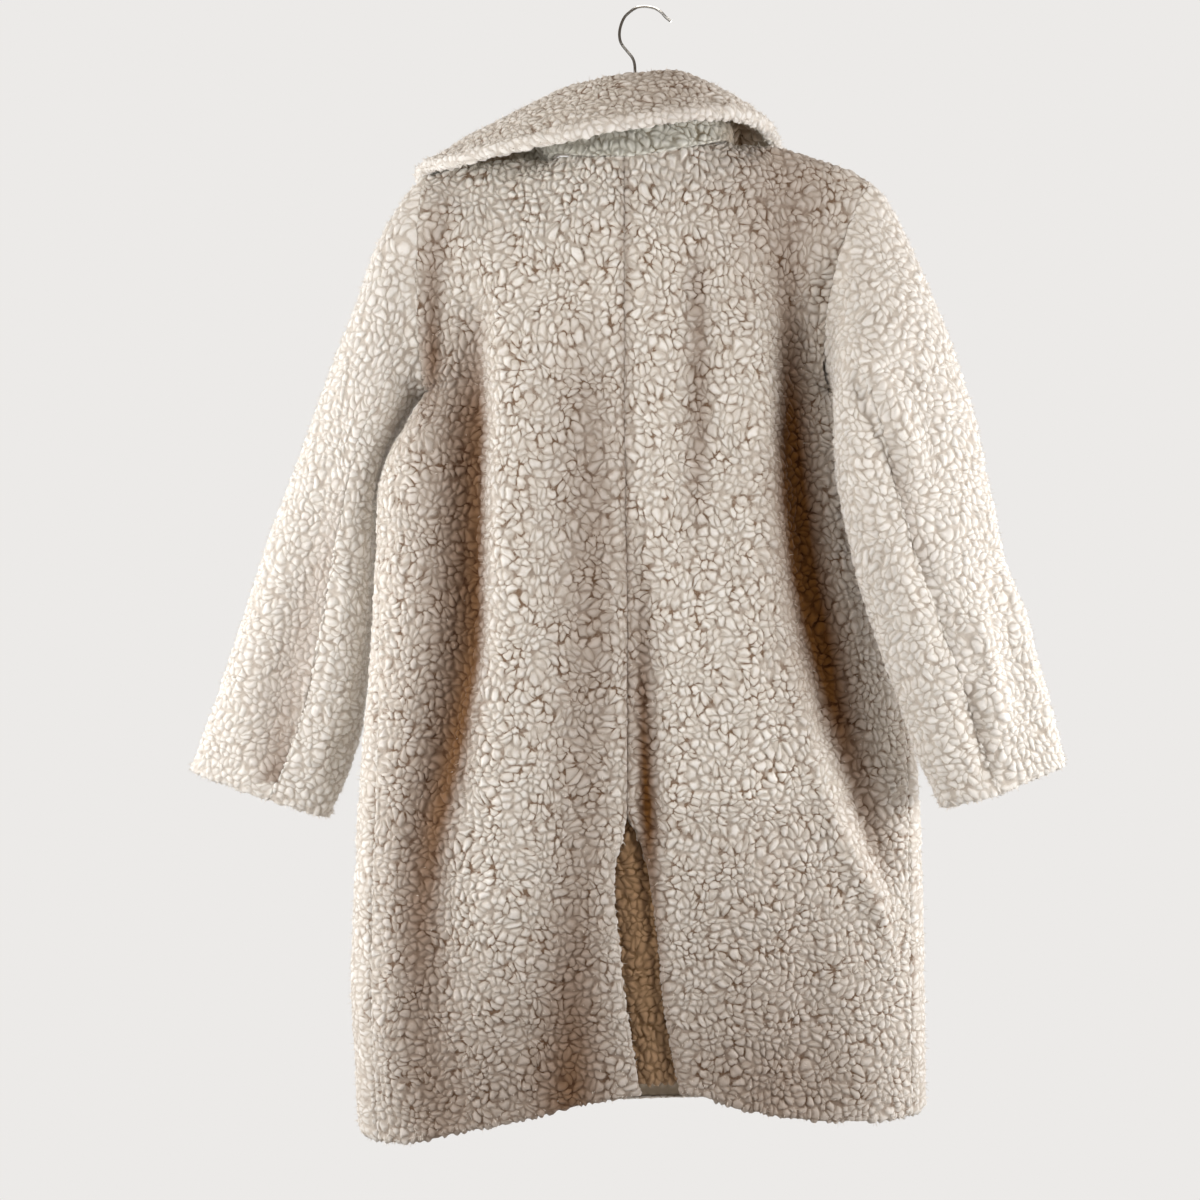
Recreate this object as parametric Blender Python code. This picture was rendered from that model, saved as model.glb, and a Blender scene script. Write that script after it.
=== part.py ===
"""A knee-length faux fur coat that hangs by its shoulders on a wire-hook hanger.

Every cut piece of the coat is a wall of cloth of its own: two backs with a vent and its underlay, two
fronts with lapels, two-piece sleeves, and a collar of an under and an upper layer. The back of the coat
faces -Y and the fronts face +Y. X runs to the wearer's right, Z up, and the origin is the point inside the
top of the hook where it bears on whatever holds it. All lengths are in metres.
"""

from collections import namedtuple

import bmesh
import bpy
import numpy as np

# ---------------------------------------------------------------- driving sizes
CLOTH = 0.0050  # wall of backing and pile
SEAM_GAP = 0.0004  # between two pieces at a seam
ARMHOLE_GAP = 0.0010  # the same for the sleeves, half of it on their side
SECTION_POWER = 0.80  # squareness of the body's cross-section (1 is an ellipse)
SLEEVE_POWER = 0.86  # squareness of a sleeve's cross-section
YOKE_POWER = 2.2  # curve of the panels across, between the armholes
YOKE_FADE = 0.120  # height over which that turns into the rounded section
FOLD_FADE = 2.4  # how soon folds set in beside the widest points
CENTRE_EASE = 4  # power: how late a back panel leans over to its centre edge
SIDE_EASE = 2  # power: how soon rows leave the height of the side
ARMHOLE_EASE = 3  # power: how soon a panel leaves the armhole front to back
BOW_POWER = 1.5  # how the sleeve's back bows across
LEVEL_SHARE = 0.20  # share of the way to the hem where rows stop following the shoulder line
FRONT_OVERLAP = 0.060  # how far each front passes the centre line
UNDER_LAP = 0.0095  # how far the left front steps back under the right one
UNDER_LAP_START = 0.035  # where that step starts, before the right front's edge
UNDER_LAP_RUN = 0.030  # and the width it takes
UNDER_LAP_DROP = 0.060  # and the height over which it sets in under the neck
LAPEL_THICK = 0.0060
LAPEL_CLEAR = 0.0008  # between a lapel and the front it lies on
LAPEL_LIFT = 0.0025  # how much more its outer edge stands off
LAPEL_WIDTH = 0.40  # of the front's width, at the notch
LAPEL_POINT = 0.035  # of the front's width, at the bottom
LAPEL_CURVE = 0.8  # power: how its outer edge runs from the one to the other
LAPEL_ROLL = 0.995  # where the lapel starts beside the roll line
VENT_CLEAR = 0.0055  # between the backs and the vent's underlay
VENT_CUP = 0.0060  # how far the underlay's two sides lie back
VENT_MIDDLE = 0.010
VENT_HALF = 0.080
WIRE_RADIUS = 0.0014
ARM_RADIUS = 0.0055  # round bar of the hanger
BAR_CLEAR = 0.0004  # between the hanger and the shoulders that rest on it
BOSS_RADIUS = 0.0058  # of the stub that holds the hook

ARM_ROWS = 8  # rows of a body panel along the armhole
SIDE_ROWS = 16  # rows of a body panel along the side seam
BACK_COLUMNS = 10
FRONT_COLUMNS = 11
SLEEVE_ROWS = 15
SLEEVE_EASE = 1.25  # power: rows lie closer together near the armhole
VENT_ROWS = 8
VENT_COLUMNS = 5
HOOK_STEPS = 45
BOSS_SIDES = 20
UNDERARM_WEIGHTS = (50.0, 2.5, 0.4)  # how much the wall is turned down at the lowest points of an armhole
SEAM_STEP = 5  # steps of the sleeve's ring from its top line to each of its seams
COLLAR_COLUMNS = 24
COLLAR_ROWS = 9
LAPEL_COLUMNS = 4
LAPEL_FIRST_ROW = 4  # row of the front panel where a lapel's notch lies
LAPEL_LAST_ROW = {"left": 6, "right": 8}

# ---------------------------------------------------------------- the body
# drop: depth below the hook. left_x, right_x: widest points. left_y, right_y: where those lie front to back.
# left_seam, right_seam: how far the side seam is turned towards the back, in degrees round the section.
Section = namedtuple("Section", "drop left_x right_x left_y right_y left_seam right_seam")
SECTIONS = (
    Section(0.384, -0.214, 0.186, -0.001, -0.002, 0, 0),
    Section(0.412, -0.232, 0.205, -0.004, 0.008, 3, 2),
    Section(0.445, -0.251, 0.226, -0.008, 0.014, 6, 4),
    Section(0.482, -0.262, 0.240, -0.010, 0.016, 9, 6),
    Section(0.552, -0.265, 0.252, -0.010, 0.016, 14, 10),
    Section(0.673, -0.272, 0.266, -0.008, 0.012, 21, 16),
    Section(0.794, -0.282, 0.275, -0.004, 0.004, 26, 22),
    Section(0.960, -0.290, 0.279, 0.000, 0.000, 28, 24),
    Section(1.124, -0.282, 0.281, 0.000, 0.000, 28, 24),
)

# below: distance under the shoulder line. The rest is how far the cloth stands out from the plane of the
# hanger: at the shoulders, at the nape, and in front.
Depth = namedtuple("Depth", "below shoulder nape front")
DEPTHS = (
    Depth(0.000, 0.000, 0.050, 0.000),
    Depth(0.006, 0.012, 0.051, 0.012),
    Depth(0.018, 0.023, 0.053, 0.022),
    Depth(0.045, 0.036, 0.056, 0.032),
    Depth(0.090, 0.050, 0.061, 0.038),
    Depth(0.180, 0.067, 0.070, 0.046),
    Depth(0.300, 0.078, 0.079, 0.050),
    Depth(0.500, 0.085, 0.085, 0.053),
    Depth(0.960, 0.088, 0.088, 0.056),
)

# The line of the shoulders and the neck seam, and the line of the hem, both from left to right.
Level = namedtuple("Level", "x z")
TOP_LINE = (
    Level(-0.213, -0.167),
    Level(-0.173, -0.157),
    Level(-0.120, -0.152),
    Level(-0.085, -0.155),
    Level(-0.045, -0.162),
    Level(-0.019, -0.163),
    Level(0.020, -0.157),
    Level(0.058, -0.147),
    Level(0.096, -0.137),
    Level(0.130, -0.139),
    Level(0.171, -0.151),
    Level(0.203, -0.162),
    Level(0.229, -0.178),
)
BACK_HEM = (
    Level(-0.282, -1.116),
    Level(-0.240, -1.113),
    Level(-0.189, -1.101),
    Level(-0.105, -1.080),
    Level(-0.018, -1.061),
    Level(0.039, -1.058),
    Level(0.099, -1.074),
    Level(0.178, -1.088),
    Level(0.281, -1.094),
)
FRONT_HEM = (
    Level(-0.282, -1.116),
    Level(-0.150, -1.112),
    Level(0.000, -1.104),
    Level(0.150, -1.100),
    Level(0.281, -1.094),
)
MIDDLE_X = -0.017  # middle of the cross-sections
INSIDE = (0.0, 0.0, -0.6)  # a point inside the coat
NECK_LEFT = -0.092
NECK_RIGHT = 0.088

# The centre-back seam, which opens at the vent into a left and a right edge.
Centre = namedtuple("Centre", "drop left right")
CENTRE_BACK = (
    Centre(0.163, -0.0190, -0.0190),
    Centre(0.402, -0.0190, -0.0190),
    Centre(0.640, -0.0160, -0.0160),
    Centre(0.790, -0.0165, -0.0165),
    Centre(0.818, -0.0225, -0.0050),
    Centre(0.848, -0.0300, 0.0020),
    Centre(0.914, -0.0260, 0.0110),
    Centre(0.980, -0.0180, 0.0180),
    Centre(1.030, -0.0095, 0.0270),
    Centre(1.060, -0.0040, 0.0330),
)
VENT_TOP = 0.772
VENT_LEFT = -0.058
VENT_RIGHT = 0.066
VENT_HEM = 1.052

# Where each front ends: down the roll line of the lapel, then down the front edge.
Edge = namedtuple("Edge", "drop x")
RIGHT_FRONT_EDGE = (
    Edge(0.138, NECK_RIGHT),
    Edge(0.220, 0.062),
    Edge(0.320, 0.018),
    Edge(0.440, -0.040),
    Edge(0.470, -FRONT_OVERLAP + 0.008),
    Edge(0.500, -FRONT_OVERLAP + 0.004),
    Edge(1.100, -FRONT_OVERLAP + 0.004),
)
LEFT_FRONT_EDGE = tuple(Edge(row.drop, -row.x) for row in RIGHT_FRONT_EDGE[1:])
LEFT_FRONT_EDGE = (Edge(0.153, NECK_LEFT),) + LEFT_FRONT_EDGE

# Long folds in the back and the fronts: the path of each one down the coat, how deep it is, and how far it
# spreads to its left and right.
Fold = namedtuple("Fold", "drop x depth left right")
BACK_FOLDS = (
    (  # deep trough down the left
        Fold(0.240, -0.183, 0.000, 0.030, 0.014),
        Fold(0.330, -0.172, 0.012, 0.030, 0.014),
        Fold(0.430, -0.168, 0.023, 0.034, 0.015),
        Fold(0.600, -0.172, 0.025, 0.034, 0.016),
        Fold(0.700, -0.190, 0.018, 0.032, 0.020),
        Fold(0.820, -0.216, 0.010, 0.028, 0.024),
        Fold(0.960, -0.246, 0.000, 0.024, 0.024),
    ),
    (  # deep trough down the right, beside the sleeve
        Fold(0.220, 0.150, 0.000, 0.022, 0.030),
        Fold(0.310, 0.153, 0.014, 0.022, 0.035),
        Fold(0.420, 0.156, 0.030, 0.022, 0.050),
        Fold(0.560, 0.162, 0.032, 0.022, 0.060),
        Fold(0.690, 0.183, 0.030, 0.020, 0.050),
        Fold(0.790, 0.208, 0.022, 0.018, 0.036),
        Fold(0.880, 0.238, 0.000, 0.018, 0.024),
    ),
    (  # the body gives way where the right sleeve hangs in front of it
        Fold(0.360, 0.190, 0.000, 0.030, 0.040),
        Fold(0.430, 0.205, 0.020, 0.030, 0.040),
        Fold(0.560, 0.225, 0.018, 0.030, 0.040),
        Fold(0.690, 0.245, 0.012, 0.030, 0.030),
        Fold(0.800, 0.260, 0.000, 0.030, 0.030),
    ),
    (  # hollow that runs into the vent
        Fold(0.460, -0.008, 0.000, 0.010, 0.016),
        Fold(0.600, -0.004, 0.005, 0.010, 0.016),
        Fold(0.740, -0.001, 0.011, 0.011, 0.018),
        Fold(0.820, 0.000, 0.010, 0.012, 0.016),
        Fold(0.920, 0.010, 0.005, 0.012, 0.014),
        Fold(1.060, 0.030, 0.004, 0.012, 0.012),
    ),
    (  # ridge that leaves the right trough towards the pocket
        Fold(0.640, 0.150, 0.000, 0.014, 0.012),
        Fold(0.720, 0.160, -0.007, 0.014, 0.012),
        Fold(0.800, 0.182, -0.009, 0.014, 0.012),
        Fold(0.860, 0.210, -0.006, 0.014, 0.012),
        Fold(0.910, 0.235, 0.000, 0.014, 0.012),
    ),
)
FRONT_FOLDS = (
    (
        Fold(0.300, -0.150, 0.000, 0.024, 0.020),
        Fold(0.480, -0.158, 0.010, 0.026, 0.018),
        Fold(0.760, -0.176, 0.013, 0.028, 0.020),
        Fold(1.120, -0.196, 0.005, 0.030, 0.026),
    ),
    (
        Fold(0.280, 0.128, 0.000, 0.020, 0.022),
        Fold(0.460, 0.138, 0.012, 0.018, 0.026),
        Fold(0.800, 0.150, 0.009, 0.020, 0.028),
        Fold(1.120, 0.162, 0.004, 0.026, 0.028),
    ),
)

# ---------------------------------------------------------------- the sleeves
# Each row is a ring round the sleeve: its outer and its inner point, how far it reaches to the back and to
# the front, how far its back bows across (bow), how far its inner point is set back or forward (skew), and
# where the back seam lies (degrees round from the outer point).
Ring = namedtuple("Ring", "outer_x outer_z inner_x inner_z back front bow skew seam")
LEFT_SLEEVE = (
    Ring(-0.213, -0.167, -0.214, -0.384, -0.032, 0.030, -0.010, 0.000, 118),
    Ring(-0.228, -0.182, -0.218, -0.386, -0.038, 0.036, -0.012, 0.004, 117),
    Ring(-0.246, -0.207, -0.223, -0.390, -0.042, 0.042, -0.010, 0.007, 116),
    Ring(-0.262, -0.237, -0.231, -0.397, -0.044, 0.046, -0.006, 0.008, 115),
    Ring(-0.279, -0.280, -0.240, -0.417, -0.043, 0.050, -0.003, 0.008, 113),
    Ring(-0.300, -0.331, -0.257, -0.442, -0.038, 0.054, 0.000, 0.006, 111),
    Ring(-0.325, -0.394, -0.270, -0.482, -0.028, 0.060, 0.000, 0.003, 109),
    Ring(-0.351, -0.460, -0.275, -0.532, -0.018, 0.064, 0.000, 0.000, 107),
    Ring(-0.381, -0.536, -0.276, -0.592, -0.010, 0.066, 0.000, 0.000, 105),
    Ring(-0.408, -0.618, -0.280, -0.661, -0.004, 0.066, 0.000, 0.000, 103),
    Ring(-0.432, -0.689, -0.288, -0.725, 0.000, 0.064, 0.000, 0.000, 101),
    Ring(-0.449, -0.735, -0.303, -0.774, 0.002, 0.062, 0.000, 0.000, 100),
    Ring(-0.459, -0.764, -0.322, -0.812, 0.004, 0.060, 0.000, 0.000, 99),
)
RIGHT_SLEEVE = (
    Ring(0.229, -0.178, 0.186, -0.384, -0.034, 0.030, -0.022, 0.000, 118),
    Ring(0.241, -0.191, 0.188, -0.386, -0.042, 0.032, -0.022, -0.010, 117),
    Ring(0.253, -0.216, 0.187, -0.389, -0.050, 0.030, -0.022, -0.020, 116),
    Ring(0.265, -0.249, 0.185, -0.394, -0.060, 0.022, -0.018, -0.028, 114),
    Ring(0.282, -0.298, 0.182, -0.404, -0.074, 0.006, -0.012, -0.032, 112),
    Ring(0.301, -0.361, 0.181, -0.432, -0.086, -0.012, -0.004, -0.022, 110),
    Ring(0.316, -0.422, 0.184, -0.480, -0.096, -0.026, 0.000, -0.010, 107),
    Ring(0.328, -0.490, 0.194, -0.533, -0.101, -0.035, 0.000, -0.004, 104),
    Ring(0.341, -0.552, 0.207, -0.586, -0.104, -0.040, 0.000, 0.000, 101),
    Ring(0.361, -0.607, 0.222, -0.634, -0.104, -0.042, 0.000, 0.000, 99),
    Ring(0.374, -0.656, 0.238, -0.677, -0.102, -0.044, 0.000, 0.000, 98),
    Ring(0.388, -0.702, 0.255, -0.729, -0.099, -0.044, 0.000, 0.000, 97),
    Ring(0.399, -0.748, 0.283, -0.790, -0.095, -0.044, 0.000, 0.000, 97),
)

# ---------------------------------------------------------------- the collar
# One row for each place round the neck, from the left front to the right front: the neck seam, the fold at
# the top of the stand, and the outer edge of the fall.
Station = namedtuple("Station", "seam_x seam_y seam_z fold_x fold_y fold_z edge_x edge_y edge_z")
COLLAR = (
    Station(-0.070, 0.042, -0.226, -0.086, 0.066, -0.196, -0.176, 0.078, -0.262),
    Station(-0.084, 0.032, -0.186, -0.104, 0.052, -0.140, -0.214, 0.066, -0.228),
    Station(-0.092, 0.011, -0.1525, -0.110, 0.018, -0.106, -0.228, 0.018, -0.1680),
    Station(-0.088, -0.008, -0.1505, -0.101, 0.004, -0.098, -0.215, -0.016, -0.1655),
    Station(-0.080, -0.022, -0.1530, -0.088, -0.008, -0.093, -0.192, -0.042, -0.170),
    Station(-0.055, -0.038, -0.1605, -0.056, -0.022, -0.087, -0.130, -0.074, -0.164),
    Station(-0.019, -0.046, -0.1630, -0.014, -0.031, -0.082, -0.042, -0.090, -0.151),
    Station(0.020, -0.043, -0.1570, 0.026, -0.031, -0.079, 0.024, -0.088, -0.140),
    Station(0.056, -0.031, -0.1470, 0.060, -0.019, -0.085, 0.072, -0.074, -0.132),
    Station(0.082, -0.006, -0.1365, 0.088, 0.002, -0.096, 0.114, -0.030, -0.126),
    Station(0.086, 0.014, -0.1430, 0.097, 0.022, -0.104, 0.134, 0.012, -0.130),
    Station(0.083, 0.030, -0.177, 0.100, 0.048, -0.128, 0.152, 0.062, -0.176),
    Station(0.070, 0.042, -0.216, 0.092, 0.066, -0.180, 0.168, 0.078, -0.252),
)
FOLD_ROUND = 0.011  # half the width of the roll at the top of the stand
FOLD_INNER = 0.010  # the same towards the neck
FOLD_DROP = 0.006  # how far down its outer side lies
FALL_RISE = 0.004  # how far the fall arches up between the roll and its edge

# ---------------------------------------------------------------- the hanger
Bend = namedtuple("Bend", "x z")
HOOK_BENDS = (
    Bend(0.0280, -0.0135),
    Bend(0.0225, -0.0090),
    Bend(0.0185, -0.0045),
    Bend(0.0130, -0.0008),
    Bend(0.0065, 0.0010),
    Bend(0.0000, 0.0014),
    Bend(-0.0065, 0.0003),
    Bend(-0.0125, -0.0034),
    Bend(-0.0183, -0.0090),
    Bend(-0.0220, -0.0170),
    Bend(-0.0236, -0.0260),
    Bend(-0.0220, -0.0350),
    Bend(-0.0160, -0.0430),
    Bend(-0.0105, -0.0500),
    Bend(-0.0082, -0.0580),
    Bend(-0.0080, -0.0720),
)
SHANK_X = -0.008
SHANK_END = -0.1400
NECK_TOP = SHANK_END - BAR_CLEAR  # top of the stub under the hook
ARM_LEFT = -0.205
ARM_RIGHT = 0.212
ARM_STEPS = 18
ARM_SINK = 0.0034  # further down where the two walls close in under the shoulder seam
HANGER_MIDDLE = -0.156  # the bar's middle under the hook
ARCH_FLAT = 0.030  # how far each way it stays at that height
ARCH_RUN = 0.070  # and how far on it comes down to the shoulders

SIDES = {"left": LEFT_SLEEVE, "right": RIGHT_SLEEVE}


# ---------------------------------------------------------------- curves through tables
def column(table, name):
    """One column of a table as an array."""
    return np.array([getattr(row, name) for row in table], dtype=float)


def through(keys, values, wanted):
    """Smooth curve through (keys, values), read at wanted; it never swings past the table's values."""
    wanted = np.clip(wanted, keys[0], keys[-1])
    steps = np.diff(keys)
    rises = np.diff(values) / steps
    slopes = np.zeros(len(keys))
    same_way = rises[:-1] * rises[1:] > 0
    before = 2 * steps[1:] + steps[:-1]
    after = steps[1:] + 2 * steps[:-1]
    safe = np.where(same_way, rises[:-1], 1.0), np.where(same_way, rises[1:], 1.0)
    inner = (before + after) / (before / safe[0] + after / safe[1])
    slopes[1:-1] = np.where(same_way, inner, 0.0)
    slopes[0], slopes[-1] = rises[0], rises[-1]
    spot = np.clip(np.searchsorted(keys, wanted, side="right") - 1, 0, len(steps) - 1)
    span = steps[spot]
    part = (wanted - keys[spot]) / span
    start, end = values[spot], values[spot + 1]
    return (
        start * (1 + 2 * part) * (1 - part) ** 2
        + end * part**2 * (3 - 2 * part)
        + slopes[spot] * span * part * (1 - part) ** 2
        - slopes[spot + 1] * span * part**2 * (1 - part)
    )


def level(table, x):
    """Height of a line such as the hem at each x."""
    return through(column(table, "x"), column(table, "z"), x)


def signed_power(value, power):
    """A power that keeps the sign, for rounded-square sections."""
    return np.sign(value) * np.abs(value) ** power


def smooth_step(value):
    """0 to 1 with flat ends."""
    value = np.clip(value, 0.0, 1.0)
    return value * value * (3 - 2 * value)


def fold_depth(folds, x, z):
    """Sum of the folds at each point: positive is into the coat."""
    total = np.zeros_like(x)
    for rows in folds:
        drops = column(rows, "drop")
        inside = (-z >= drops[0]) & (-z <= drops[-1])
        path = through(drops, column(rows, "x"), -z)
        depth = through(drops, column(rows, "depth"), -z)
        spread = np.where(
            x < path,
            through(drops, column(rows, "left"), -z),
            through(drops, column(rows, "right"), -z),
        )
        total += np.where(inside, depth * np.exp(-(((x - path) / spread) ** 2)), 0.0)
    return total


# ---------------------------------------------------------------- the sleeves' surface
def ring_positions(rings):
    """How far down the sleeve each ring lies, from 0 at the armhole to 1 at the cuff."""
    middle_x = (column(rings, "outer_x") + column(rings, "inner_x")) / 2
    middle_z = (column(rings, "outer_z") + column(rings, "inner_z")) / 2
    steps = np.hypot(np.diff(middle_x), np.diff(middle_z))
    reach = np.concatenate([[0.0], np.cumsum(steps)])
    return reach / reach[-1]


def sleeve_surface(side, along, turn):
    """Points of a sleeve. along: 0 armhole to 1 cuff. turn: degrees from the outer point round the back."""
    rings = SIDES[side]
    places = ring_positions(rings)
    row = {name: through(places, column(rings, name), along) for name in Ring._fields}
    across = signed_power(np.cos(np.radians(turn)), SLEEVE_POWER)
    depth = signed_power(np.sin(np.radians(turn)), SLEEVE_POWER)
    to_back = np.maximum(depth, 0.0)
    to_front = np.maximum(-depth, 0.0)
    middle = (row["back"] + row["front"]) / 2
    x = (row["outer_x"] + row["inner_x"]) / 2 + (row["outer_x"] - row["inner_x"]) / 2 * across
    x = x + row["bow"] * to_back**BOW_POWER
    y = middle + (row["back"] - middle) * to_back + (row["front"] - middle) * to_front
    y = y + row["skew"] * (1 - across) / 2
    z = (row["outer_z"] + row["inner_z"]) / 2 + (row["outer_z"] - row["inner_z"]) / 2 * across
    return np.stack([x, y, z], axis=-1)


def seam_turn(side, along):
    """Where the sleeve's back seam lies at each place down the sleeve, in degrees."""
    rings = SIDES[side]
    return through(ring_positions(rings), column(rings, "seam"), along)


# ---------------------------------------------------------------- the body's surface
def armhole(side, part, to_back):
    """Points of the armhole from the shoulder (part 0) to the underarm (part 1)."""
    turn = ring_turns(side, np.zeros_like(part), part * 180.0)
    if not to_back:
        turn = -turn
    return sleeve_surface(side, np.zeros_like(part), turn)


def ring_turns(side, along, even):
    """Even turns of 0 to 180 degrees, moved so that one of them falls on the sleeve's seam."""
    seam = seam_turn(side, along)
    even_seam = 180.0 * SEAM_STEP / ARM_ROWS
    first = even * seam / even_seam
    second = seam + (even - even_seam) * (180.0 - seam) / (180.0 - even_seam)
    return np.where(even <= even_seam, first, second)


def side_line(side, part):
    """Widest point, its place front to back, and the seam's turn, down the side seam (part 0 to 1)."""
    hem = BACK_HEM[0].z if side == "left" else BACK_HEM[-1].z
    top = SECTIONS[0].drop
    drop = top + part * (-hem - top)
    drops = column(SECTIONS, "drop")
    wide = through(drops, column(SECTIONS, side + "_x"), drop)
    lies = through(drops, column(SECTIONS, side + "_y"), drop)
    seam = through(drops, column(SECTIONS, side + "_seam"), drop)
    return drop, wide, lies, seam


def body_rows(side, rows, to_back):
    """What every row of a body panel starts from, at the armhole and then at the side seam."""
    arm_share = ARM_ROWS / (ARM_ROWS + SIDE_ROWS)
    arm = armhole(side, np.clip(rows / arm_share, 0, 1), to_back)
    drop, wide, lies, seam = side_line(side, np.clip((rows - arm_share) / (1 - arm_share), 0, 1))
    below = rows > arm_share
    start_x = np.where(below, wide, arm[:, 0])
    start_y = np.where(below, lies, arm[:, 1])
    start_z = np.where(below, -drop, arm[:, 2])
    return start_x, start_y, start_z, np.where(below, seam, 0.0)


def yoke_share(start_z):
    """1 beside the armhole, where a panel runs straight across, fading to 0 at the underarm."""
    underarm = -SECTIONS[0].drop
    return smooth_step((start_z - underarm) / YOKE_FADE)


def fold_reach(turn):
    """Folds fade out towards the widest points of the section."""
    return smooth_step(FOLD_FADE * np.sin(turn))


def side_share(side, start_z):
    """How far from the shoulder to the hem a row's start lies, 0 to 1."""
    shoulder = SIDES[side][0].outer_z
    hem = BACK_HEM[0].z if side == "left" else BACK_HEM[-1].z
    return (start_z - shoulder) / (hem - shoulder)


def centre_share(rows):
    """How far down the centre back each row lies, the mean of its places on the two sides."""
    shares = []
    for side in SIDES:
        shares.append(side_share(side, body_rows(side, rows, True)[2]))
    return sum(shares) / 2


def centre_line(side, share):
    """X of the centre back's edge at each share of the way down."""
    top, hem = CENTRE_BACK[0].drop, CENTRE_BACK[-1].drop
    return through(column(CENTRE_BACK, "drop"), column(CENTRE_BACK, side), top + share * (hem - top))


def row_top(side, share, columns, x_top):
    """Height that a row starts from: the shoulder line at the top, straight across from the underarm down."""
    line = level(TOP_LINE, x_top)
    straight = SIDES[side][0].outer_z * (1 - columns) + line[-1] * columns
    return line[None, :] + (straight - line)[None, :] * smooth_step(share / LEVEL_SHARE)


def back_surface(side, rows, columns):
    """Points of a back panel. rows: 0 shoulder to 1 hem. columns: 0 side to 1 centre back."""
    start_x, start_y, start_z, seam = (v[:, None] for v in body_rows(side, rows, True))
    at_side = side_share(side, start_z)
    share = at_side + (centre_share(rows)[:, None] - at_side) * columns[None, :]
    centre_x = centre_line(side, centre_share(rows))[:, None]
    turn = np.radians(seam + (90.0 - seam) * columns[None, :])
    yoke = yoke_share(start_z)
    round_x = signed_power(np.cos(turn), SECTION_POWER) * (1 - yoke) + (1 - columns[None, :]) * yoke
    round_y = signed_power(np.sin(turn), SECTION_POWER) * (1 - yoke)
    round_y = round_y + (1 - (1 - columns[None, :]) ** YOKE_POWER) * yoke
    x = MIDDLE_X + (start_x - MIDDLE_X) * round_x + (centre_x - MIDDLE_X) * columns[None, :] ** CENTRE_EASE
    x_top = CENTRE_BACK[0].left + (SIDES[side][0].outer_x - CENTRE_BACK[0].left) * (1 - columns)
    z = row_top(side, share, columns, x_top) * (1 - share) + level(BACK_HEM, x) * share
    z = z + (start_z - z[:, :1]) * (1 - columns[None, :]) ** SIDE_EASE
    below = level(TOP_LINE, x_top)[None, :] - z
    half_neck = NECK_LEFT if side == "left" else NECK_RIGHT
    nape = np.clip((x_top - CENTRE_BACK[0].left) / (half_neck - CENTRE_BACK[0].left), 0, 1)
    nape = np.sqrt(1 - nape**2)[None, :]
    keys = column(DEPTHS, "below")
    stand = through(keys, column(DEPTHS, "shoulder"), below) * (1 - nape)
    stand = stand + through(keys, column(DEPTHS, "nape"), below) * nape
    armhole_y = (seam == 0.0) * start_y
    side_y = (seam > 0.0) * start_y
    y = -stand * round_y + side_y * (1 - round_y) + armhole_y * (1 - columns[None, :]) ** ARMHOLE_EASE
    y = y + fold_depth(BACK_FOLDS, x, z) * fold_reach(turn)
    return np.stack(np.broadcast_arrays(x, y, z), axis=-1)


def front_surface(side, rows, columns):
    """Points of a front panel. rows: 0 shoulder to 1 hem. columns: 0 side to 1 roll line or front edge."""
    start_x, start_y, start_z, seam = (v[:, None] for v in body_rows(side, rows, False))
    edges = LEFT_FRONT_EDGE if side == "left" else RIGHT_FRONT_EDGE
    share = side_share(side, start_z)
    edge_drop = edges[0].drop * (1 - share) - level(FRONT_HEM, edges[-1].x) * share
    edge_x = through(column(edges, "drop"), column(edges, "x"), edge_drop)
    reach = np.clip((edge_x - MIDDLE_X) / (start_x - MIDDLE_X), -1, 1)
    last = np.degrees(np.arccos(signed_power(reach, 1 / SECTION_POWER)))
    turn = np.radians(seam - (last + seam) * columns[None, :])
    yoke = yoke_share(start_z)
    straight = 1 - (1 - reach) * columns[None, :]
    round_x = signed_power(np.cos(turn), SECTION_POWER) * (1 - yoke) + straight * yoke
    round_y = signed_power(np.sin(-turn), SECTION_POWER) * (1 - yoke)
    round_y = round_y + (1 - np.abs(straight) ** YOKE_POWER) * yoke
    x = MIDDLE_X + (start_x - MIDDLE_X) * round_x
    x_top = SIDES[side][0].outer_x + (edges[0].x - SIDES[side][0].outer_x) * columns
    z = row_top(side, share, columns, x_top) * (1 - share) + level(FRONT_HEM, x) * share
    z = z + (start_z - z[:, :1]) * (1 - columns[None, :]) ** SIDE_EASE
    below = level(TOP_LINE, x_top)[None, :] - z
    stand = through(column(DEPTHS, "below"), column(DEPTHS, "front"), below)
    behind = through(column(DEPTHS, "below"), column(DEPTHS, "shoulder"), below)
    armhole_y = (seam == 0.0) * start_y
    side_y = (seam > 0.0) * start_y
    front_y = stand * np.maximum(round_y, 0) + behind * np.minimum(round_y, 0)
    y = front_y + side_y * (1 - np.abs(round_y)) + armhole_y * (1 - columns[None, :]) ** ARMHOLE_EASE
    y = y + fold_depth(BACK_FOLDS, x, z) * fold_reach(turn)
    y = y - fold_depth(FRONT_FOLDS, x, z) * fold_reach(-turn)
    if side == "left":
        under = smooth_step((x + FRONT_OVERLAP + UNDER_LAP_START) / UNDER_LAP_RUN)
        y = y - UNDER_LAP * under * smooth_step(below / UNDER_LAP_DROP)
    return np.stack(np.broadcast_arrays(x, y, z), axis=-1)


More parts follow.
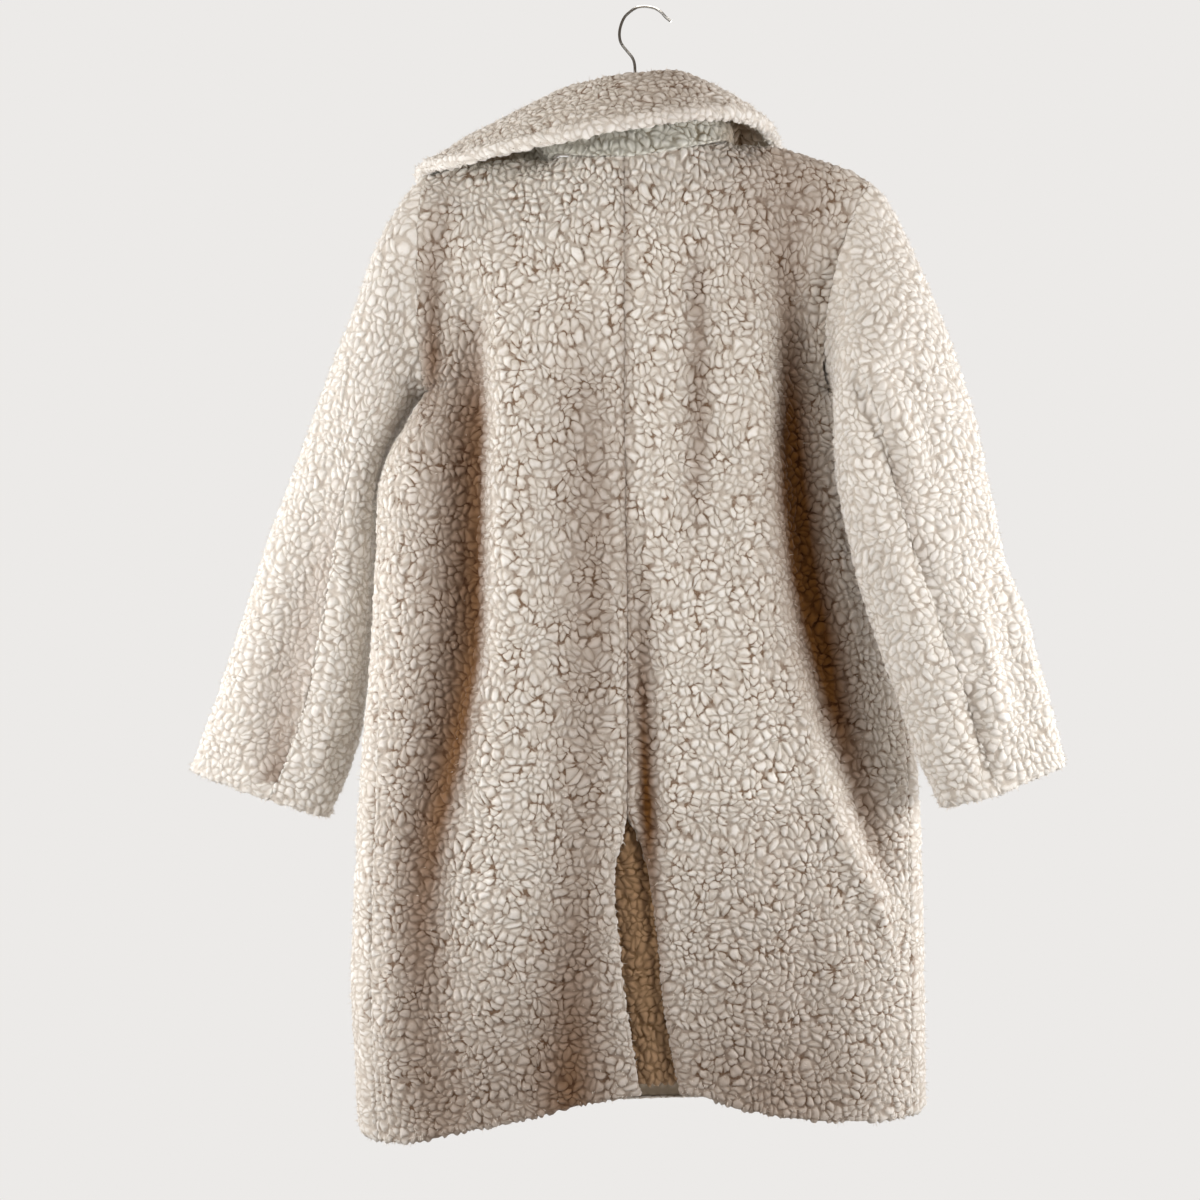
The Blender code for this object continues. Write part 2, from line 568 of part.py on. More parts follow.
# ---------------------------------------------------------------- the collar's surface
def collar_surface(rows, columns):
    """Middle of the collar. rows: 0 neck seam to 1 outer edge. columns: 0 left front to 1 right front."""
    places = np.linspace(0.0, 1.0, len(COLLAR))
    row = {name: through(places, column(COLLAR, name), columns) for name in Station._fields}
    seam = np.stack([row["seam_x"], row["seam_y"], row["seam_z"]], axis=-1)
    fold = np.stack([row["fold_x"], row["fold_y"], row["fold_z"]], axis=-1)
    edge = np.stack([row["edge_x"], row["edge_y"], row["edge_z"]], axis=-1)
    out = edge - fold
    out[:, 2] = 0.0
    out /= np.linalg.norm(out, axis=1, keepdims=True)
    up = np.array([0.0, 0.0, 1.0])
    inner = fold - out * FOLD_INNER - up * FOLD_ROUND
    outer = fold + out * FOLD_ROUND - up * FOLD_DROP
    middle = (outer + edge) / 2 + up * FALL_RISE
    posts = np.stack([seam, (seam + inner) / 2, inner, fold, outer, middle, edge])
    lengths = np.linalg.norm(np.diff(posts, axis=0), axis=2)
    keys = np.concatenate([[0.0], np.cumsum(lengths.mean(axis=1))])
    keys /= keys[-1]
    grid = np.empty((len(rows), len(columns), 3))
    for k in range(len(columns)):
        for axis in range(3):
            grid[:, k, axis] = spline(keys, posts[:, k, axis], rows)
    return grid


def spline(keys, values, wanted):
    """Rounded curve through (keys, values), for the roll of the collar."""
    slopes = np.gradient(values, keys)
    spot = np.clip(np.searchsorted(keys, wanted, side="right") - 1, 0, len(keys) - 2)
    span = keys[spot + 1] - keys[spot]
    part = (wanted - keys[spot]) / span
    return (
        values[spot] * (1 + 2 * part) * (1 - part) ** 2
        + values[spot + 1] * part**2 * (3 - 2 * part)
        + slopes[spot] * span * part * (1 - part) ** 2
        - slopes[spot + 1] * span * part**2 * (1 - part)
    )


# ---------------------------------------------------------------- from points to walls of cloth
def normals_of(grid, outward):
    """Unit normals of a grid of points; outward is 1 or -1."""
    down = np.gradient(grid, axis=0)
    over = np.gradient(grid, axis=1)
    normal = np.cross(down, over) * outward
    return normal / np.maximum(np.linalg.norm(normal, axis=2, keepdims=True), 1e-12)


def rim_of(grid):
    """Row and column numbers of every point on a grid's border."""
    rows, columns = grid.shape[:2]
    spots = [(r, c) for r in range(rows) for c in range(columns)]
    return [(r, c) for r, c in spots if r in (0, rows - 1) or c in (0, columns - 1)]


def share_normals(panels, normals):
    """Give points that panels share at a seam one normal, so that their walls meet edge to edge."""
    meeting = {}
    for name, grid in panels.items():
        for spot in rim_of(grid):
            meeting.setdefault(tuple(np.round(grid[spot], 5) + 0.0), []).append((name, spot))
    for group in meeting.values():
        total = sum(normals[name][spot] for name, spot in group)
        for name, spot in group:
            normals[name][spot] = total / np.linalg.norm(total)


def pulled_in(grid, gap):
    """The grid with its border moved in by half a gap."""
    pulled = grid.copy()
    for near, far in ((0, 1), (-1, -2)):
        step = grid[far] - grid[near]
        pulled[near] += step / np.linalg.norm(step, axis=1, keepdims=True) * gap / 2
        step = grid[:, far] - grid[:, near]
        pulled[:, near] += step / np.linalg.norm(step, axis=1, keepdims=True) * gap / 2
    return pulled


def edge_face(mesh_data, a, b, c, d):
    """Two triangles of a wall's edge, split along the shorter way, which is the same one on both pieces."""
    if (a.co - c.co).length <= (b.co - d.co).length:
        mesh_data.faces.new((a, b, c))
        mesh_data.faces.new((a, c, d))
    else:
        mesh_data.faces.new((a, b, d))
        mesh_data.faces.new((b, c, d))


def cloth_wall(name, outer, inner, material, collection):
    """A closed wall of cloth between two grids of points."""
    rows, columns = outer.shape[:2]
    mesh_data = bmesh.new()
    skins = []
    for grid in (outer, inner):
        skins.append([[mesh_data.verts.new(tuple(grid[r, c])) for c in range(columns)] for r in range(rows)])
    front, back = skins
    for r in range(rows - 1):
        for c in range(columns - 1):
            mesh_data.faces.new((front[r][c], front[r + 1][c], front[r + 1][c + 1], front[r][c + 1]))
            mesh_data.faces.new((back[r][c], back[r][c + 1], back[r + 1][c + 1], back[r + 1][c]))
    border = [(0, c) for c in range(columns)] + [(r, columns - 1) for r in range(1, rows)]
    border += [(rows - 1, c) for c in range(columns - 2, -1, -1)] + [(r, 0) for r in range(rows - 2, 0, -1)]
    for here, there in zip(border, border[1:] + border[:1]):
        (r, c), (s, d) = here, there
        edge_face(mesh_data, front[r][c], front[s][d], back[s][d], back[r][c])
    bmesh.ops.triangulate(mesh_data, faces=mesh_data.faces)
    bmesh.ops.recalc_face_normals(mesh_data, faces=mesh_data.faces)
    if mesh_data.calc_volume(signed=True) < 0:
        bmesh.ops.reverse_faces(mesh_data, faces=mesh_data.faces)
    mesh = bpy.data.meshes.new(name)
    mesh_data.to_mesh(mesh)
    mesh_data.free()
    mesh.shade_smooth()
    piece = bpy.data.objects.new(name, mesh)
    piece.data.materials.append(material)
    collection.objects.link(piece)
    return piece


# ---------------------------------------------------------------- the pieces
def body_panels():
    """Grids of the backs and the fronts."""
    rows = np.linspace(0, 1, ARM_ROWS + SIDE_ROWS + 1)
    back_columns = np.linspace(0, 1, BACK_COLUMNS + 1)
    front_columns = np.linspace(0, 1, FRONT_COLUMNS + 1)
    panels = {}
    for side in SIDES:
        panels["back_" + side] = back_surface(side, rows, back_columns)
        panels["front_" + side] = front_surface(side, rows, front_columns)
    return panels


def sleeve_panels():
    """Grids of the upper and the under sleeves."""
    down = np.linspace(0, 1, SLEEVE_ROWS + 1) ** SLEEVE_EASE
    panels = {}
    for side in SIDES:
        steps = np.arange(-ARM_ROWS, ARM_ROWS + 1)
        along, step = np.meshgrid(down, steps, indexing="ij")
        turn = ring_turns(side, along, np.abs(step) * 180.0 / ARM_ROWS) * np.sign(step)
        ring = sleeve_surface(side, along, turn)
        first, last = ARM_ROWS - SEAM_STEP, ARM_ROWS + SEAM_STEP
        panels[f"sleeve_{side}_upper"] = ring[:, first : last + 1]
        panels[f"sleeve_{side}_under"] = np.concatenate([ring[:, last:], ring[:, 1 : first + 1]], axis=1)
    return panels


def shoulder_normals(panels, normals):
    """Along the shoulder seams the walls stand upright, so that back and front meet in one plane."""
    for side, neck in (("left", NECK_LEFT), ("right", NECK_RIGHT)):
        for kind in ("back_", "front_"):
            line = panels[kind + side][0]
            on_shoulder = np.abs(line[:, 0]) >= abs(neck) - 1e-6
            slope = np.gradient(line[:, 2], line[:, 0])
            upright = np.stack([-slope, np.zeros_like(slope), np.ones_like(slope)], axis=1)
            upright /= np.linalg.norm(upright, axis=1, keepdims=True)
            normals[kind + side][0][on_shoulder] = upright[on_shoulder]


def underarm_normals(normals):
    """At the bottom of each armhole body and sleeve both face down, so the wall stands above the seam."""
    bottom = ARM_ROWS - SEAM_STEP
    for side in SIDES:
        under = normals[f"sleeve_{side}_under"][0]
        for kind, way in (("back_", -1), ("front_", 1)):
            for step, weight in enumerate(UNDERARM_WEIGHTS):
                normal = normals[kind + side][ARM_ROWS - step, 0] - np.array([0.0, 0.0, weight])
                normal /= np.linalg.norm(normal)
                normals[kind + side][ARM_ROWS - step, 0] = normal
                under[bottom + way * step] = normal
        lowest = np.array([0.0, 0.0, -1.0])
        under[bottom] = normals["back_" + side][ARM_ROWS, 0] = normals["front_" + side][ARM_ROWS, 0] = lowest


def outward_sign(grid, centre):
    """1 or -1, so that the normals of a grid point away from centre."""
    away = grid - np.asarray(centre)
    return 1 if (normals_of(grid, 1) * away).sum() > 0 else -1


def build_shell(materials, collection):
    """Backs, fronts and sleeves, all walls that meet at shared seams."""
    body = body_panels()
    sleeves = sleeve_panels()
    normals = {name: normals_of(grid, outward_sign(grid, INSIDE)) for name, grid in body.items()}
    for name, grid in sleeves.items():
        side = name.split("_")[1]
        ring = np.concatenate([sleeves[f"sleeve_{side}_upper"], sleeves[f"sleeve_{side}_under"]], axis=1)
        centre = ring.mean(axis=1, keepdims=True)
        normals[name] = normals_of(grid, outward_sign(grid, centre))
    panels = {**body, **sleeves}
    shoulder_normals(panels, normals)
    share_normals(panels, normals)
    underarm_normals(normals)
    for name, grid in panels.items():
        outer = pulled_in(grid, ARMHOLE_GAP if name in sleeves else SEAM_GAP)
        cloth_wall(name, outer, outer - normals[name] * CLOTH, materials["fur"], collection)
    return panels, normals


def build_vent(materials, collection):
    """The strip behind the two edges of the vent."""
    drops = np.linspace(VENT_TOP, VENT_HEM, VENT_ROWS + 1)
    across = np.linspace(VENT_LEFT, VENT_RIGHT, VENT_COLUMNS + 1)
    x = np.broadcast_to(across[None, :], (len(drops), len(across))).copy()
    z = np.broadcast_to(-drops[:, None], x.shape).copy()
    stand = through(column(DEPTHS, "below"), column(DEPTHS, "nape"), -z - CENTRE_BACK[0].drop)
    y = -stand + fold_depth(BACK_FOLDS, x, z) + CLOTH + VENT_CLEAR
    y = y + VENT_CUP * smooth_step(np.abs(x - VENT_MIDDLE) / VENT_HALF)
    outer = np.stack([x, y, z], axis=-1)
    normal = normals_of(outer, outward_sign(outer, INSIDE))
    cloth_wall("vent_underlay", outer, outer - normal * CLOTH, materials["fur_shade"], collection)


def build_lapels(panels, normals, materials, collection):
    """Each lapel lies on its front, on the panel's own rows, from the roll line outwards."""
    for side, lowest in LAPEL_LAST_ROW.items():
        rows = range(LAPEL_FIRST_ROW, lowest + 1)
        field, normal = panels["front_" + side], normals["front_" + side]
        places = np.linspace(0, 1, field.shape[1])
        grid = np.empty((len(rows), LAPEL_COLUMNS + 1, 3))
        up = np.empty_like(grid)
        for k, r in enumerate(rows):
            width = LAPEL_WIDTH * (1 - k / (len(rows) - 1)) ** LAPEL_CURVE + LAPEL_POINT
            wanted = np.linspace(1 - width, LAPEL_ROLL, LAPEL_COLUMNS + 1)
            for axis in range(3):
                grid[k, :, axis] = np.interp(wanted, places, field[r, :, axis])
                up[k, :, axis] = np.interp(wanted, places, normal[r, :, axis])
        lift = np.linspace(LAPEL_LIFT, 0, LAPEL_COLUMNS + 1)[None, :, None]
        low = grid + up * (LAPEL_CLEAR + lift)
        cloth_wall(f"lapel_{side}", low + up * LAPEL_THICK, low, materials["fur"], collection)


def build_collar(materials, collection):
    """Two layers that share the collar's middle surface, turned over at the fold."""
    rows = np.linspace(0, 1, COLLAR_ROWS + 1)
    columns = np.linspace(0, 1, COLLAR_COLUMNS + 1)
    middle = collar_surface(rows, columns)
    normal = normals_of(middle, 1)
    if normal[-1, COLLAR_COLUMNS // 2, 1] > 0:
        normal = -normal
    upper = middle + normal * SEAM_GAP / 2
    under = middle - normal * SEAM_GAP / 2
    cloth_wall("upper_collar", upper + normal * CLOTH, upper, materials["fur"], collection)
    cloth_wall("under_collar", under, under - normal * CLOTH, materials["fur_shade"], collection)


def wire(name, points, radius, material, collection, resolution=2):
    """A round bar through points, with filled ends, as a mesh."""
    data = bpy.data.curves.new(name, "CURVE")
    data.dimensions = "3D"
    data.bevel_depth = radius
    data.bevel_resolution = resolution
    data.use_fill_caps = True
    spline_data = data.splines.new("POLY")
    spline_data.points.add(len(points) - 1)
    for spot, point in zip(spline_data.points, points):
        spot.co = (*point, 1.0)
    guide = bpy.data.objects.new(name + "_guide", data)
    collection.objects.link(guide)
    evaluated = guide.evaluated_get(bpy.context.evaluated_depsgraph_get())
    mesh = bpy.data.meshes.new_from_object(evaluated)
    bpy.data.objects.remove(guide)
    mesh_data = bmesh.new()
    mesh_data.from_mesh(mesh)
    bmesh.ops.remove_doubles(mesh_data, verts=mesh_data.verts, dist=0.00001)
    bmesh.ops.recalc_face_normals(mesh_data, faces=mesh_data.faces)
    mesh_data.to_mesh(mesh)
    mesh_data.free()
    mesh.name = name
    mesh.shade_smooth()
    mesh.materials.clear()
    mesh.materials.append(material)
    piece = bpy.data.objects.new(name, mesh)
    collection.objects.link(piece)
    return piece


def build_hanger(materials, collection):
    """The wire hook and the shoulder bar it stands on."""
    shape = [np.array([bend.x, 0.0, bend.z]) for bend in HOOK_BENDS]
    places = np.arange(len(shape), dtype=float)
    fine = np.linspace(0, len(shape) - 1, HOOK_STEPS + 1)
    xs = spline(places, np.array([p[0] for p in shape]), fine)
    zs = spline(places, np.array([p[2] for p in shape]), fine)
    points = [(x, 0.0, z) for x, z in zip(xs, zs)] + [(SHANK_X, 0.0, SHANK_END)]
    wire("hanger_hook", points, WIRE_RADIUS, materials["wire"], collection)

    across = np.linspace(ARM_LEFT, ARM_RIGHT, ARM_STEPS + 1)
    top = level(TOP_LINE, across)
    slope = np.gradient(top, across)
    sink = (CLOTH + BAR_CLEAR + ARM_RADIUS + ARM_SINK) / np.sqrt(1 + slope**2)
    x = across + slope * sink
    z = top - sink
    rise = 1 - smooth_step((np.abs(across - SHANK_X) - ARCH_FLAT) / ARCH_RUN)
    z = z * (1 - rise) + np.maximum(z, HANGER_MIDDLE) * rise
    arms = wire("hanger_arms", [(x[k], 0.0, z[k]) for k in range(len(x))], ARM_RADIUS,
                materials["bar"], collection, resolution=3)
    foot = float(np.interp(SHANK_X, x, z))
    bpy.ops.mesh.primitive_cylinder_add(vertices=BOSS_SIDES, radius=BOSS_RADIUS, depth=NECK_TOP - foot,
                                        location=(SHANK_X, 0.0, (NECK_TOP + foot) / 2))
    boss = bpy.context.object
    boss.name = "hanger_boss_tool"
    cutters = bpy.data.collections.new("cutters")
    bpy.context.scene.collection.children.link(cutters)
    for holder in list(boss.users_collection):
        holder.objects.unlink(boss)
    cutters.objects.link(boss)
    boss.hide_render = True
    boss.display_type = "WIRE"
    union = arms.modifiers.new("boss", "BOOLEAN")
    union.operation = "UNION"
    union.object = boss


def finish(name, colour, roughness, metallic=0.0):
    """A plain material of one colour."""
    material = bpy.data.materials.new(name)
    material.use_nodes = True
    shader = material.node_tree.nodes["Principled BSDF"]
    shader.inputs["Base Color"].default_value = (*colour, 1.0)
    shader.inputs["Roughness"].default_value = roughness
    shader.inputs["Metallic"].default_value = metallic
    return material


def main():
    """Build the coat and its hanger."""
    for old in list(bpy.data.objects):
        bpy.data.objects.remove(old)
    collection = bpy.data.collections.new("faux_fur_coat")
    bpy.context.scene.collection.children.link(collection)
    materials = {
        "fur": finish("cream faux fur", (0.80, 0.74, 0.66), 0.95),
        "fur_shade": finish("cream faux fur, inner layers", (0.70, 0.62, 0.52), 0.95),
        "wire": finish("chromed wire", (0.70, 0.70, 0.70), 0.20, 1.0),
        "bar": finish("black moulded plastic", (0.05, 0.05, 0.05), 0.45),
    }
    panels, normals = build_shell(materials, collection)
    build_vent(materials, collection)
    build_lapels(panels, normals, materials, collection)
    build_collar(materials, collection)
    build_hanger(materials, collection)


main()
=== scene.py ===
"""Dresses a knee-length faux fur coat that hangs by its shoulders on a wire-hook hanger.

Every cut piece of the coat is made anew on the form that its solid has, as a closed wall of cloth: a pile of
packed curls outside and a knitted backing inside, with rolled edges where the cloth is turned under and
sunken ones along the seams. The hanger's solids stay and get their finishes. The back of the coat faces -Y.
Lengths are in metres, but in millimetres in the rows of the tables.
"""

from __future__ import annotations

import logging
import math
from dataclasses import dataclass, field
from enum import Enum
from functools import partial
from typing import Callable

import bpy
import numpy as np
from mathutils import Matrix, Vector
from mathutils.bvhtree import BVHTree
from mathutils.kdtree import KDTree


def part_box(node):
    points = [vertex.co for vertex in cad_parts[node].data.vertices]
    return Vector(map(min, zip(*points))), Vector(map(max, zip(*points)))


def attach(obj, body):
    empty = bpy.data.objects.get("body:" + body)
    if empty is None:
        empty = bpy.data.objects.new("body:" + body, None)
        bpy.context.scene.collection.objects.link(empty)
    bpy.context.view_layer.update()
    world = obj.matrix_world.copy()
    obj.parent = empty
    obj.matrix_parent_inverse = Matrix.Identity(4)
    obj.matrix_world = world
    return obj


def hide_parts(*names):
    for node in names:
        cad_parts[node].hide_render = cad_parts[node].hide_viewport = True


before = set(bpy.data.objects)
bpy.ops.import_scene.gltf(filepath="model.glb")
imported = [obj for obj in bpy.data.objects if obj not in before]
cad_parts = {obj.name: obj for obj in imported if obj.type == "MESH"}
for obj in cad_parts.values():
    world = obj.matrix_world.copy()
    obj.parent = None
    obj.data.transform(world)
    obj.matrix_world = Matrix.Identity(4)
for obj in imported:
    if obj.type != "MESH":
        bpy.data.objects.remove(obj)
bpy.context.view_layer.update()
LOG = logging.getLogger("coat")
MM = 0.001
Surface = Callable[[np.ndarray, np.ndarray], np.ndarray]
Place = tuple[float, float, float]
Adder = Callable[..., bpy.types.Node]


class Table:
    """Rows of sizes that are read by column."""

    def __init__(self, columns: str, *rows: tuple[float, ...]) -> None:
        """Take the columns' names and the rows, with lengths in millimetres and turns in degrees."""
        self.names = columns.split()
        self.rows = rows

    def __getitem__(self, name: str) -> np.ndarray:
        """Give one column, its lengths in metres."""
        values = np.array([row[self.names.index(name)] for row in self.rows], dtype=float)
        return values if name.endswith("turn") else values / 1000


def folds(*paths: tuple[tuple[float, ...], ...]) -> tuple[Table, ...]:
    """Make a table of each long fold: its path down the coat, its depth and its spread to its left and right."""
    return tuple(Table("drop x depth left right", *rows) for rows in paths)


# ---------------------------------------------------------------- driving sizes, as the solids have them
CLOTH = 0.0050  # wall of backing and pile
SEAM_GAP = 0.0004  # between two pieces at a seam
SECTION_POWER = 0.80  # squareness of the body's cross-section (1 is an ellipse)
SLEEVE_POWER = 0.86  # squareness of a sleeve's cross-section
YOKE_POWER = 2.2  # curve of the panels across, between the armholes
YOKE_FADE = 0.120  # height over which that turns into the rounded section
FOLD_FADE = 2.4  # how soon folds set in beside the widest points
CENTRE_EASE = 4  # power: how late a back panel leans over to its centre edge
SIDE_EASE = 2  # power: how soon rows leave the height of the side
ARMHOLE_EASE = 3  # power: how soon a panel leaves the armhole front to back
BOW_POWER = 1.5  # how the sleeve's back bows across
LEVEL_SHARE = 0.20  # share of the way to the hem where rows stop following the shoulder line
FRONT_OVERLAP = 0.060  # how far each front passes the centre line
UNDER_LAP = 0.0095  # how far the left front steps back under the right one
UNDER_LAP_START = 0.035  # where that step starts, before the right front's edge
UNDER_LAP_RUN = 0.030  # and the width it takes
UNDER_LAP_DROP = 0.060  # and the height over which it sets in under the neck
LAPEL_THICK = 0.0060
LAPEL_CLEAR = 0.0008  # between a lapel and the front it lies on
LAPEL_LIFT = 0.0025  # how much more its outer edge stands off
LAPEL_WIDTH = 0.40  # of the front's width, at the notch
LAPEL_POINT = 0.035  # of the front's width, at the bottom
LAPEL_CURVE = 0.8  # power: how its outer edge runs from the one to the other
LAPEL_ROLL = 0.995  # where the lapel starts beside the roll line
VENT_CLEAR = 0.0055  # between the backs and the vent's underlay
VENT_CUP = 0.0060  # how far the underlay's two sides lie back
VENT_MIDDLE = 0.010
VENT_HALF = 0.080
ARM_ROWS = 8  # rows of a body panel along the armhole
SIDE_ROWS = 16  # rows of a body panel along the side seam
SEAM_STEP = 5  # steps of the sleeve's ring from its top line to each of its seams
LAPEL_FIRST_ROW = 4  # row of the front panel where a lapel's notch lies
LAPEL_LAST_ROW = {"left": 6, "right": 8}
NAPE_REACH = 0.040  # how far below its seam the neck's round outline has run out into the shoulders
NAPE_SPREAD, NAPE_FADE = 0.9, 1.5  # how much wider and softer it is there
UNDER_COLLAR_SHARE = 0.955  # the under collar stops short, so that the upper one rolls round it

# ---------------------------------------------------------------- how finely the cloth is made
LAPEL_PROBES = 121  # places across a front at which the lapel on it is worked out
PROBE_ROWS, PROBE_COLUMNS = 481, 161  # places at which a form is measured before it is sampled
UNWRAP_STEP = 8  # every how many points of a grid are flattened; the others lie between them
EDGE_PLACES = (0.0, 0.0007, 0.0018, 0.0034)  # rows beside an edge
FINE_EDGE = (0.0, 0.0007, 0.0014, 0.0022, 0.0030, 0.0039, 0.0049, 0.0064)  # the same where it is rolled thickly

# ---------------------------------------------------------------- seams, edges and pile
NOSE_TURN = 0.92 * math.pi  # how far round a free edge the pile goes
NOSE_TUCK = 0.9  # how far the backing draws back under it, as a share of the nose
PUFF_REACH = 11.0 * MM  # how far from a rolled edge its roll is thicker
FREE_FADE = 20 * MM  # over which a seam opens into a free edge
SHARED_REACH = 10 * MM  # how far from a seam the two pieces' pile is turned to stand alike
SAME_SEAM = 1.6 * MM  # points of two pieces that are nearer than this lie on one seam
OPPOSED = 0.3  # length of two unit normals' sum, below which they point too far apart to be shared
CLOTH_APART = 0.731  # between the pieces on the flat cloth, so that no two have the same curls
RIM_WIDTH = 1.5 * MM  # of the cloth over a border's cut edge
LAY_STEPS = 60  # places down a piece at which its lay is added up
PILE_STAND = 4.0 * MM  # height of the pile
ROOM_SHARE = 0.45  # how much of the way to the next solid the pile fills
ROOM_REACH = 8 * MM  # how far away that solid is looked for
NEAR = 10 * MM  # how far outside a solid's box it is looked for
PILE_FALL = -0.18  # how much the pile and its tufts hang down
TUFT_LENGTH = (2.0 * MM, 5.2 * MM)
TUFT_HALF = 0.34 * MM  # half the width of a tuft's foot, from which it tapers to its tip
TUFT_ROOT = 0.5 * MM  # how deep a tuft starts in the pile
TUFT_SPREAD = 0.30  # how much of their number stands on the flat of the back
TUFT_ROLL = 1.6  # how much more of them stands on rolled edges
TUFT_STRAY = 0.42  # how far they stray from the way out of the pile
TUFT_FEWEST = 30

# ---------------------------------------------------------------- the body
# drop: depth below the hook. left_x, right_x: widest points. left_y, right_y: where those lie front to back.
# left_turn, right_turn: how far the side seam is turned towards the back, round the section.
SECTIONS = Table(
    "drop left_x right_x left_y right_y left_turn right_turn",
    (384, -214, 186, -1, -2, 0, 0), (412, -232, 205, -4, 8, 3, 2), (445, -251, 226, -8, 14, 6, 4),
    (482, -262, 240, -10, 16, 9, 6), (552, -265, 252, -10, 16, 14, 10), (673, -272, 266, -8, 12, 21, 16),
    (794, -282, 275, -4, 4, 26, 22), (960, -290, 279, 0, 0, 28, 24), (1124, -282, 281, 0, 0, 28, 24),
)

# below: distance under the shoulder line. The rest is how far the cloth stands out from the plane of the
# hanger: at the shoulders, at the nape, and in front.
DEPTHS = Table(
    "below shoulder nape front",
    (0, 0, 50, 0), (6, 12, 51, 12), (18, 23, 53, 22), (45, 36, 56, 32), (90, 50, 61, 38), (180, 67, 70, 46),
    (300, 78, 79, 50), (500, 85, 85, 53), (960, 88, 88, 56),
)

# The line of the shoulders and the neck seam, and the line of the hem, both from left to right.
TOP_LINE = Table(
    "x z",
    (-213, -167), (-173, -157), (-120, -152), (-85, -155), (-45, -162), (-19, -163), (20, -157), (58, -147),
    (96, -137), (130, -139), (171, -151), (203, -162), (229, -178),
)
BACK_HEM = Table(
    "x z",
    (-282, -1116), (-240, -1113), (-189, -1101), (-105, -1080), (-18, -1061), (39, -1058), (99, -1074),
    (178, -1088), (281, -1094),
)
FRONT_HEM = Table(
    "x z",
    (-282, -1116), (-150, -1112), (0, -1104), (150, -1100), (281, -1094),
)

MIDDLE_X = -0.017  # middle of the cross-sections
INSIDE = (0.0, 0.0, -0.6)  # a point inside the coat
NECK = {"left": -0.092, "right": 0.088}

# The centre-back seam, which opens at the vent into a left and a right edge.
CENTRE_BACK = Table(
    "drop left right",
    (163, -19, -19), (402, -19, -19), (640, -16, -16), (790, -16.5, -16.5), (818, -22.5, -5), (848, -30, 2),
    (914, -26, 11), (980, -18, 18), (1030, -9.5, 27), (1060, -4, 33),
)

VENT_TOP = 0.772
VENT_LEFT = -0.058
VENT_RIGHT = 0.066
VENT_HEM = 1.052

# Where each front ends: down the roll line of the lapel, then down the front edge.
RIGHT_FRONT_EDGE = Table(
    "drop x",
    (138, 88), (220, 62), (320, 18), (440, -40), (470, -52), (500, -56), (1100, -56),
)

FRONT_EDGES = {
    "left": Table("drop x", (153, -92), *((drop, -x) for drop, x in RIGHT_FRONT_EDGE.rows[1:])),
    "right": RIGHT_FRONT_EDGE,
}

# Long folds in the back and the fronts.
BACK_FOLDS = folds(
    (  # deep trough down the left
        (240, -183, 0, 30, 14), (330, -166, 12, 34, 14), (430, -162, 22, 38, 16), (600, -165, 24, 38, 17),
        (700, -184, 20, 34, 18), (820, -216, 10, 28, 24), (960, -246, 0, 24, 24),
    ),
    (  # deep trough down the right, beside the sleeve
        (220, 136, 0, 18, 26), (310, 140, 10, 18, 28), (420, 144, 27, 20, 34), (560, 152, 32, 20, 44),
        (690, 174, 30, 20, 44), (790, 200, 22, 18, 34), (880, 234, 0, 18, 24),
    ),
    (  # the body gives way where the right sleeve hangs in front of it
        (360, 190, 0, 30, 40), (430, 205, 20, 30, 40), (560, 225, 18, 30, 40), (690, 245, 12, 30, 30),
        (800, 260, 0, 30, 30),
    ),
    (  # hollow that runs into the vent
        (460, -8, 0, 10, 16), (600, -4, 5, 10, 16), (740, -1, 11, 11, 18), (820, 0, 10, 12, 16),
        (920, 10, 5, 12, 14), (1060, 30, 4, 12, 12),
    ),
    (  # ridge that leaves the right trough towards the pocket
        (640, 150, 0, 14, 12), (720, 160, -7, 14, 12), (800, 182, -9, 14, 12), (860, 210, -6, 14, 12),
        (910, 235, 0, 14, 12),
    ),
)
FRONT_FOLDS = folds(
    (
        (300, -150, 0, 24, 20), (480, -158, 10, 26, 18), (760, -176, 13, 28, 20), (1120, -196, 5, 30, 26),
    ),
    (
        (280, 128, 0, 20, 22), (460, 138, 12, 18, 26), (800, 150, 9, 20, 28), (1120, 162, 4, 26, 28),
    ),
)

# ---------------------------------------------------------------- the sleeves
# Each row is a ring round the sleeve: its outer and its inner point, how far it reaches to the back and to
# the front, how far its back bows across (bow), how far its inner point is set back or forward (skew), and
# where the back seam lies round from the outer point.
LEFT_SLEEVE = Table(
    "outer_x outer_z inner_x inner_z back front bow skew seam_turn",
    (-213, -167, -214, -384, -32, 30, -10, 0, 118), (-228, -182, -218, -386, -38, 36, -12, 4, 117),
    (-246, -207, -223, -390, -42, 42, -10, 7, 116), (-262, -237, -231, -397, -44, 46, -6, 8, 115),
    (-279, -280, -240, -417, -43, 50, -3, 8, 113), (-300, -331, -257, -442, -38, 54, 0, 6, 111),
    (-325, -394, -270, -482, -28, 60, 0, 3, 109), (-351, -460, -275, -532, -18, 64, 0, 0, 107),
    (-381, -536, -276, -592, -10, 66, 0, 0, 105), (-408, -618, -280, -661, -4, 66, 0, 0, 103),
    (-432, -689, -288, -725, 0, 64, 0, 0, 101), (-449, -735, -303, -774, 2, 62, 0, 0, 100),
    (-459, -764, -322, -812, 4, 60, 0, 0, 99),
)
